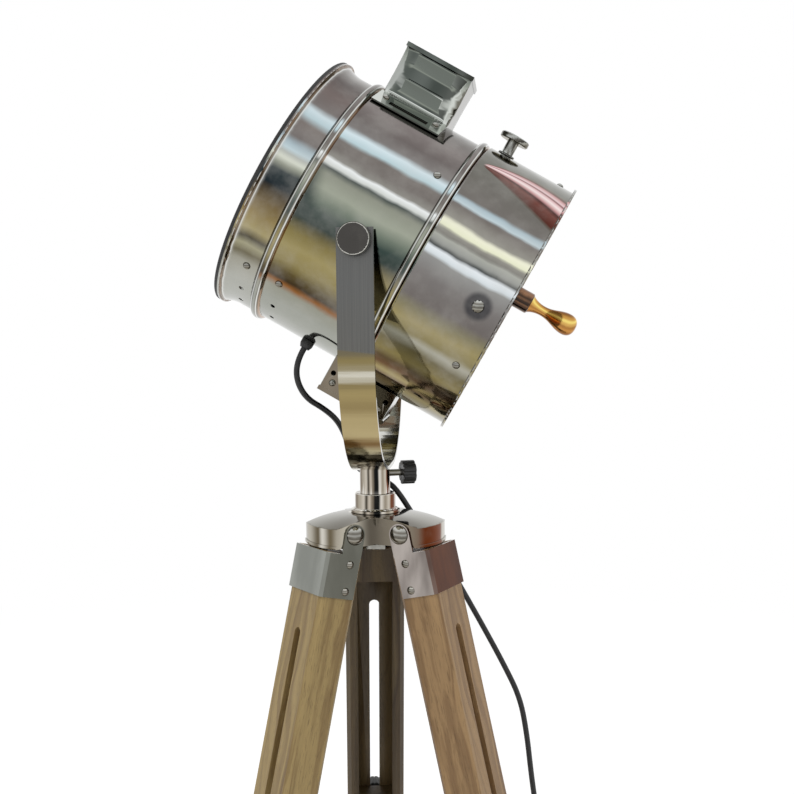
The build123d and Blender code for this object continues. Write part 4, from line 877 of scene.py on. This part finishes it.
class LAMP_OT_light_source(bpy.types.Operator):
    """Dish, bulb with its filament, cap and holder inside the drum"""

    bl_idname = "lamp.light_source"
    bl_label = "Light source"

    def execute(self, context):
        dish = spun_reflector()
        envelope = clear_glass("bulb_glass", (0.97, 0.96, 0.93), 0.02)
        brass = plain_metal("brass", (1.0, 0.72, 0.34), 0.3, 0.22, scale=90.0)
        for name, node, material, slot in (
            ("reflector_dish", "reflector", dish, "reflector_aluminium"),
            ("bulb_envelope", "bulb_glass", envelope, "bulb_glass"),
            ("bulb_screw_cap", "bulb_cap", brass, "brass"),
            ("lamp_holder_body", "lamp_holder", porcelain(), "holder_porcelain"),
        ):
            smooth_copy(name, node, material, axis=DRUM_AXIS)
        steel = plain_metal("plated_steel", (1.0, 0.99, 0.96), 0.3, 0.14, scale=80.0)
        smooth_copy("holder_bracket_sheet", "holder_bracket", steel)
        self.filament()
        return {"FINISHED"}

    def filament(self):
        """Coiled filament bowed between two supports: a helix whose own centre follows a shallow arch."""
        wire = plain_metal("tungsten", (0.7, 0.7, 0.7), 0.3, 0.3, scale=300.0)
        middle, half_span, arch = -20.0 * MM, 11.0 * MM, 3.0 * MM
        coil_radius, coils, steps = 0.9 * MM, 22, 22 * 12
        u = np.linspace(-1, 1, steps)
        turn = u * pi * coils
        bow = middle - arch * (1 - u**2)
        path = (
            DRUM_CENTRE
            + (bow + coil_radius * np.cos(turn))[:, None] * ALONG
            + (half_span * u)[:, None] * ACROSS
            + (coil_radius * np.sin(turn))[:, None] * UPWARD
        )
        piece("filament_coil", carried_tube("filament_coil", path, 0.22 * MM, 6), wire, "head")
        for side in (-1, 1):
            foot = DRUM_CENTRE + ALONG * 22.0 * MM + ACROSS * side * 4.0 * MM
            head = DRUM_CENTRE + ALONG * middle + ACROSS * side * half_span
            share = np.linspace(0, 1, 12)[:, None]
            support = foot * (1 - share) + head * share + UPWARD * 0.5 * MM * np.sin(share * pi)
            name = f"filament_post_{'near' if side < 0 else 'far'}"
            piece(name, carried_tube(name, support, 0.45 * MM, 8), wire, "head")


class LAMP_OT_fittings(bpy.types.Operator):
    """Vent boxes, handle, thumb screw, small screws and cable gland on the drum"""

    bl_idname = "lamp.fittings"
    bl_label = "Fittings"

    def execute(self, context):
        mirror = vent_mirror()
        for node in ("vent_box_top", "vent_box_bottom"):
            smooth_copy(f"{node}_sheet", node, mirror, crease=24)
        lacquer = plain_metal("bronze_lacquer", (0.42, 0.20, 0.10), 0.5, 0.14, coat=0.4)
        gilt = gilt_brass()
        steel = plain_metal("screw_steel", (1.0, 0.98, 0.93), 0.3, 0.10, scale=140.0, contrast=0.55)
        gunmetal = plain_metal("gunmetal", (0.95, 0.94, 0.90), 0.2, 0.20, scale=110.0, contrast=0.9)
        black = black_moulding("gland_black", (0.018, 0.018, 0.018), 0.42)
        for name, node, material, slot, axis in (
            ("handle_collar_turned", "handle_collar", lacquer, "bronze_lacquer", HANDLE_AXIS),
            ("handle_grip_turned", "handle_grip", gilt, "gilt_brass", HANDLE_AXIS),
            ("drum_screw_heads", "drum_screws", steel, "plated_steel", None),
            ("handle_screw_steel", "handle_screw", steel, "plated_steel", HANDLE_AXIS),
            ("thumb_nut_steel", "thumb_nut", steel, "plated_steel", None),
            ("cover_thumb_screw_turned", "cover_thumb_screw", gunmetal, "gunmetal", None),
            ("cable_gland_moulding", "cable_gland", black, "black_plastic", None),
        ):
            smooth_copy(name, node, material, axis=axis)
        return {"FINISHED"}


class LAMP_OT_yoke(bpy.types.Operator):
    """Bent strap, its spigot, the pivots and the tilt knobs"""

    bl_idname = "lamp.yoke"
    bl_label = "Yoke"

    def execute(self, context):
        smooth_copy("yoke_strap_bent", "yoke_strap", brushed_strap())
        steel = plain_metal("pivot_steel", (0.95, 0.93, 0.88), 0.3, 0.13, scale=90.0)
        for node in ("yoke_spigot", "pivot_bosses", "pivot_nuts"):
            smooth_copy(f"{node}_steel", node, steel)
        face = knob_face()
        for node in ("tilt_knob_near", "tilt_knob_far"):
            smooth_copy(f"{node}_turned", node, face, axis=PIVOT_AXIS)
        return {"FINISHED"}


class LAMP_OT_tripod_head(bpy.types.Operator):
    """Stem, crown, hinge bolts and the clamp knob"""

    bl_idname = "lamp.tripod_head"
    bl_label = "Tripod head"

    def execute(self, context):
        stem = stem_chrome()
        for node in ("stem_socket", "tripod_crown"):
            smooth_copy(f"{node}_turned", node, stem, axis=STEM_AXIS)
        steel = plain_metal("bolt_steel", (1.0, 0.96, 0.90), 0.3, 0.10, scale=90.0, contrast=0.6)
        for node in ("socket_nut", "hinge_bolts", "hinge_nuts", "clamp_stud"):
            smooth_copy(f"{node}_steel", node, steel)
        black = black_moulding("knob_black", (0.016, 0.016, 0.016), 0.30)
        smooth_copy("clamp_knob_moulding", "clamp_knob", black)
        return {"FINISHED"}


class LAMP_OT_legs(bpy.types.Operator):
    """Three timber legs with their sheet ferrules, rivets, sliding halves, lock screws and feet"""

    bl_idname = "lamp.legs"
    bl_label = "Legs"

    def execute(self, context):
        look = context.scene.lamp_finish
        black = black_moulding("lock_black", (0.018, 0.018, 0.018), 0.36)
        rubber = black_moulding("foot_rubber", (0.022, 0.022, 0.021), 0.62)
        steel = plain_metal("rivet_steel", (0.95, 0.90, 0.82), 0.3, 0.14, scale=120.0, contrast=0.6)
        # painted shade: the rear leg darkened for the shadow behind the other two, the right leg a little
        # darker than the left
        for key, shade, pink in (("rear", 0.26, 0.3), ("left", 0.92, 0.0), ("right", 0.86, 1.0)):
            wood = timber(f"leg_wood_{key}", key, look, shade, pink)
            inner = timber(f"leg_wood_inner_{key}", key, look, shade * 0.86, pink)
            sheet = ferrule_sheet(key)
            for node, ending, material, slot, crease in (
                ("upper_leg", "board", wood, "leg_wood", 20),
                ("lower_leg", "board", inner, "leg_wood_inner", 20),
                ("ferrule", "sheet", sheet, "ferrule_steel", 20),
                ("rivets", "steel", steel, "plated_steel", 32),
                ("lock_screw", "knob", black, "black_plastic", 32),
                ("foot", "rubber", rubber, "black_rubber", 20),
            ):
                smooth_copy(f"{node}_{key}_{ending}", f"{node}_{key}", material, crease)
        return {"FINISHED"}


GLAND_END = (-54.33, -25.20, 557.10)
HAND_OVER = (0, 27, 442.5)
YOKE_SIDE_END = (-0.45, 27, 442.67)
UPPER_ROUTE = [
    GLAND_END, (-59.8, -27.8, 547.6), (-61.5, -25, 531), (-55, -15, 515), (-42, -3, 505.5), (-32, 10, 494),
    (-26, 20, 477), (-23.5, 25, 460), (-14.5, 27.5, 447.5), YOKE_SIDE_END,
]
LOWER_ROUTE = [
    HAND_OVER, (10, 27, 438.7), (18, 26, 429.5), (24.5, 27.5, 419), (31, 32, 407), (42, 46, 390),
    (55.5, 62, 364), (71.5, 71, 333), (89.5, 73, 300), (106.5, 73, 268), (121.5, 72.5, 237), (127.5, 72, 203),
    (131, 72, 168), (136, 73, 130), (141.5, 75, 92), (149, 80, 55), (160, 91, 25), (170, 110, 5),
    (170, 132, 2.6), (158, 149, 4.5), (142, 157, 8),
]
TAIL_ROUTE = [
    (56, 157, 8), (44, 155, 4.5), (32, 146, 2.6), (25, 128, 2.6), (23, 105, 2.6), (22.6, 80, 2.6),
]
COIL_CENTRE = (57, 45, 2.6)
COIL_OUTER = 35.5
COIL_PITCH = 6.4
COIL_RISE = 6.1
POINTS_PER_HALF_TURN = 8


class LAMP_OT_lead(bpy.types.Operator):
    """Mains lead from the gland to the plug, with its switch"""

    bl_idname = "lamp.lead"
    bl_label = "Mains lead"

    def execute(self, context):
        size = context.scene.lamp_lead
        sheath = cord_cover(size.diameter)
        plastic = black_moulding("switch_black", (0.017, 0.017, 0.017), 0.34)
        switch = smooth_copy("switch_case", "switch_body", plastic)
        rocker = smooth_copy("switch_rocker_key", "switch_rocker", plastic)
        plug = smooth_copy("plug_case", "plug_body", plastic)
        brass = plain_metal("pin_brass", (1.0, 0.76, 0.42), 0.3, 0.18, scale=150.0)
        pins = smooth_copy("plug_pin_pair", "plug_pins", brass)

        upper, path = self.laid("lead_upper", UPPER_ROUTE, size.diameter, sheath, ["cord_upper"])
        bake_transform(upper)
        self.declared(upper, path, size.diameter, "object", "loose")
        lower, path = self.laid("lead_lower", LOWER_ROUTE, size.diameter, sheath, ["cord_lower"])
        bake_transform(lower)
        self.declared(lower, path, size.diameter, "fitting", "hanging", [switch, rocker])
        route = TAIL_ROUTE + self.coil_route(size.coil_half_turns, size.diameter / MM)
        tail, path = self.laid("lead_coil", route, size.diameter, sheath, ["cord_tail", "cord_coil"])
        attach(tail, "root")
        self.declared(tail, path, size.diameter, "plug", "coiled", [plug, pins])
        return {"FINISHED"}

    def laid(self, name, route, diameter, material, nodes):
        """Round tube along a smooth line that the route's points control, and the line's own points."""
        curve = bpy.data.curves.new(name, "CURVE")
        curve.dimensions = "3D"
        spline = curve.splines.new("NURBS")
        spline.points.add(len(route) - 1)
        spline.points.foreach_set("co", np.column_stack([np.array(route) * MM, np.ones(len(route))]).ravel())
        spline.order_u = 3
        spline.use_endpoint_u = True
        spline.resolution_u = 8
        line = bpy.data.objects.new(name + "_line", curve)
        bpy.context.scene.collection.objects.link(line)
        centre = bpy.data.meshes.new_from_object(line)
        path = [tuple(vertex.co) for vertex in centre.vertices]
        curve.bevel_depth = diameter / 2
        curve.bevel_resolution = 4
        curve.use_fill_caps = True
        bpy.context.view_layer.update()
        tube = bpy.data.meshes.new_from_object(line)
        bpy.data.objects.remove(line)
        tube.shade_smooth()
        return piece(name, tube, material, nodes=nodes), path

    def declared(self, tube, path, diameter, far_end, lay, with_pieces=()):
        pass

    def coil_route(self, half_turns, diameter):
        """Control points of the coil in millimetres: half turns that step inwards on the floor, climb by
        half a turn and step outwards again on top. They stand just outside each half turn's circle, so that
        the line touches it between them."""
        steps = range(half_turns + 1)
        reaches = [(-1) ** (step + 1) * (COIL_OUTER - step * COIL_PITCH / 2) for step in steps]
        inner = abs(reaches[-1])
        reaches += [(-1) ** (half_turns + step) * (inner + step * COIL_PITCH / 2) for step in steps]
        layers = [0] * len(steps) + [1] * len(steps)
        middle = np.array(COIL_CENTRE)
        half_step = pi / POINTS_PER_HALF_TURN / 2
        points = [tuple(middle + (reaches[0], diameter, 0))]
        heading = -1
        for start, end, low, high in zip(reaches, reaches[1:], layers, layers[1:]):
            centre, radius = (start + end) / 2, (start - end) / 2
            for step in range(POINTS_PER_HALF_TURN):
                turn = (2 * step + 1) * half_step
                rise = (low + (high - low) * turn / pi) * COIL_RISE
                x = centre + radius * cos(turn) / cos(half_step)
                y = heading * abs(radius) * sin(turn) / cos(half_step)
                points.append(tuple(middle + (x, y, rise)))
            heading = -heading
        points.append(tuple(middle + (reaches[-1], heading * diameter, COIL_RISE)))
        return points


SENSOR = 36.0
PICTURE_SIDE = 794       # pixels of the photograph's side
FITTED_FOCUS = 1250      # pixels of focal length in the camera fit


class LAMP_OT_stage(bpy.types.Operator):
    """Pale floor, soft studio light and the camera"""

    bl_idname = "lamp.stage"
    bl_label = "Stage"

    def execute(self, context):
        stage = context.scene.lamp_stage
        self.floor(stage)
        self.world(stage)
        self.light("key light", (-1.4, -1.6, 2.6), (0.0, 0.0, 0.5), 1.6, 1.2, stage.key_power)
        self.light("side light", (2.2, -0.8, 1.3), (0.0, 0.0, 0.5), 0.8, 1.6, stage.fill_power)
        self.light("back light", (-0.6, 2.2, 1.9), (0.0, 0.0, 0.5), 1.4, 0.9, stage.fill_power)
        self.camera(context)
        context.scene.view_settings.view_transform = "Standard"
        return {"FINISHED"}

    def floor(self, stage):
        half = 6.0
        corners = np.array([[[x, y, 0.0] for y in (-half, half)] for x in (-half, half)])
        f = Finish("pale_floor")
        spot = f.place()
        mottle = f.noise(spot, 3.0, 2.0)
        colour = np.array(stage.floor_colour)
        away = f.length(spot).over(0.5, 1.6)
        seen = f.seen()
        near = f.mix(mottle, tuple(colour * 0.985), tuple(colour))
        glow = f.mix(away, (stage.floor_glow,) * 3, (1.0, 1.0, 1.0))
        material = f.surface(
            Base_Color=f.mix(away * seen, near, (0.0, 0.0, 0.0)),
            Roughness=0.9,
            Specular_IOR_Level=0.0,
            Emission_Color=f.mix(seen, (0.0, 0.0, 0.0), glow),
            Emission_Strength=1.0,
        )
        ground = piece("floor", grid_mesh("floor", corners), material)

    def world(self, stage):
        """Even pale room, which lights the object with less strength than it shows behind it."""
        f = Finish("room", "worlds")
        strength = f.seen() * (1.0 - stage.world_strength) + stage.world_strength
        white = f.add("ShaderNodeBackground", None, {"Color": (1.0, 1.0, 1.0), "Strength": strength})
        bpy.context.scene.world = f.ended("ShaderNodeOutputWorld", white)

    def light(self, name, place, target, width, height, power):
        lamp = bpy.data.lights.new(name, "AREA")
        lamp.shape = "RECTANGLE"
        lamp.size = width
        lamp.size_y = height
        lamp.energy = power
        holder = bpy.data.objects.new(name, lamp)
        bpy.context.scene.collection.objects.link(holder)
        holder.visible_glossy = False
        holder.location = place
        holder.rotation_euler = (Vector(target) - Vector(place)).to_track_quat("-Z", "Y").to_euler()

    def camera(self, context):
        place = Vector((0.1172, -1.0409, 0.5869))
        forward = Vector((-0.0933, 0.9933, -0.0688)).normalized()
        up = Vector((0.0042, 0.0695, 0.9976))
        right = forward.cross(up).normalized()
        up = right.cross(forward)
        data = bpy.data.cameras.new("camera")
        data.sensor_width = SENSOR
        data.sensor_height = SENSOR
        data.lens = SENSOR * FITTED_FOCUS / PICTURE_SIDE
        data.clip_end = 40.0
        camera = bpy.data.objects.new("camera", data)
        context.scene.collection.objects.link(camera)
        turn = Matrix((right, up, -forward)).transposed().to_4x4()
        camera.matrix_world = Matrix.Translation(place) @ turn
        context.scene.camera = camera


STEPS = (
    LAMP_OT_shell, LAMP_OT_light_source, LAMP_OT_fittings, LAMP_OT_yoke, LAMP_OT_tripod_head, LAMP_OT_legs,
    LAMP_OT_lead, LAMP_OT_stage,
)


class LAMP_PT_panel(bpy.types.Panel):
    bl_idname = "LAMP_PT_panel"
    bl_label = "Searchlight lamp"
    bl_space_type = "VIEW_3D"
    bl_region_type = "UI"
    bl_category = "Lamp"

    def draw(self, context):
        for step in STEPS:
            self.layout.operator(step.bl_idname)
        for group in (context.scene.lamp_finish, context.scene.lamp_lead, context.scene.lamp_stage):
            box = self.layout.box()
            for name in group.__annotations__:
                box.prop(group, name)


SETTINGS = {
    "lamp_finish": LampFinishSettings,
    "lamp_lead": LampLeadSettings,
    "lamp_stage": LampStageSettings,
}


def register():
    for kind in (*SETTINGS.values(), *STEPS, LAMP_PT_panel):
        bpy.utils.register_class(kind)
    for name, kind in SETTINGS.items():
        setattr(bpy.types.Scene, name, PointerProperty(type=kind))


def unregister():
    for name in SETTINGS:
        delattr(bpy.types.Scene, name)
    for kind in (LAMP_PT_panel, *reversed(STEPS), *SETTINGS.values()):
        bpy.utils.unregister_class(kind)


def main():
    register()
    for step in STEPS:
        name = step.bl_idname.split(".")[1]
        if getattr(bpy.ops.lamp, name)() != {"FINISHED"}:
            raise RuntimeError(f"{step.bl_label} did not finish")


if __name__ == "__main__":
    main()
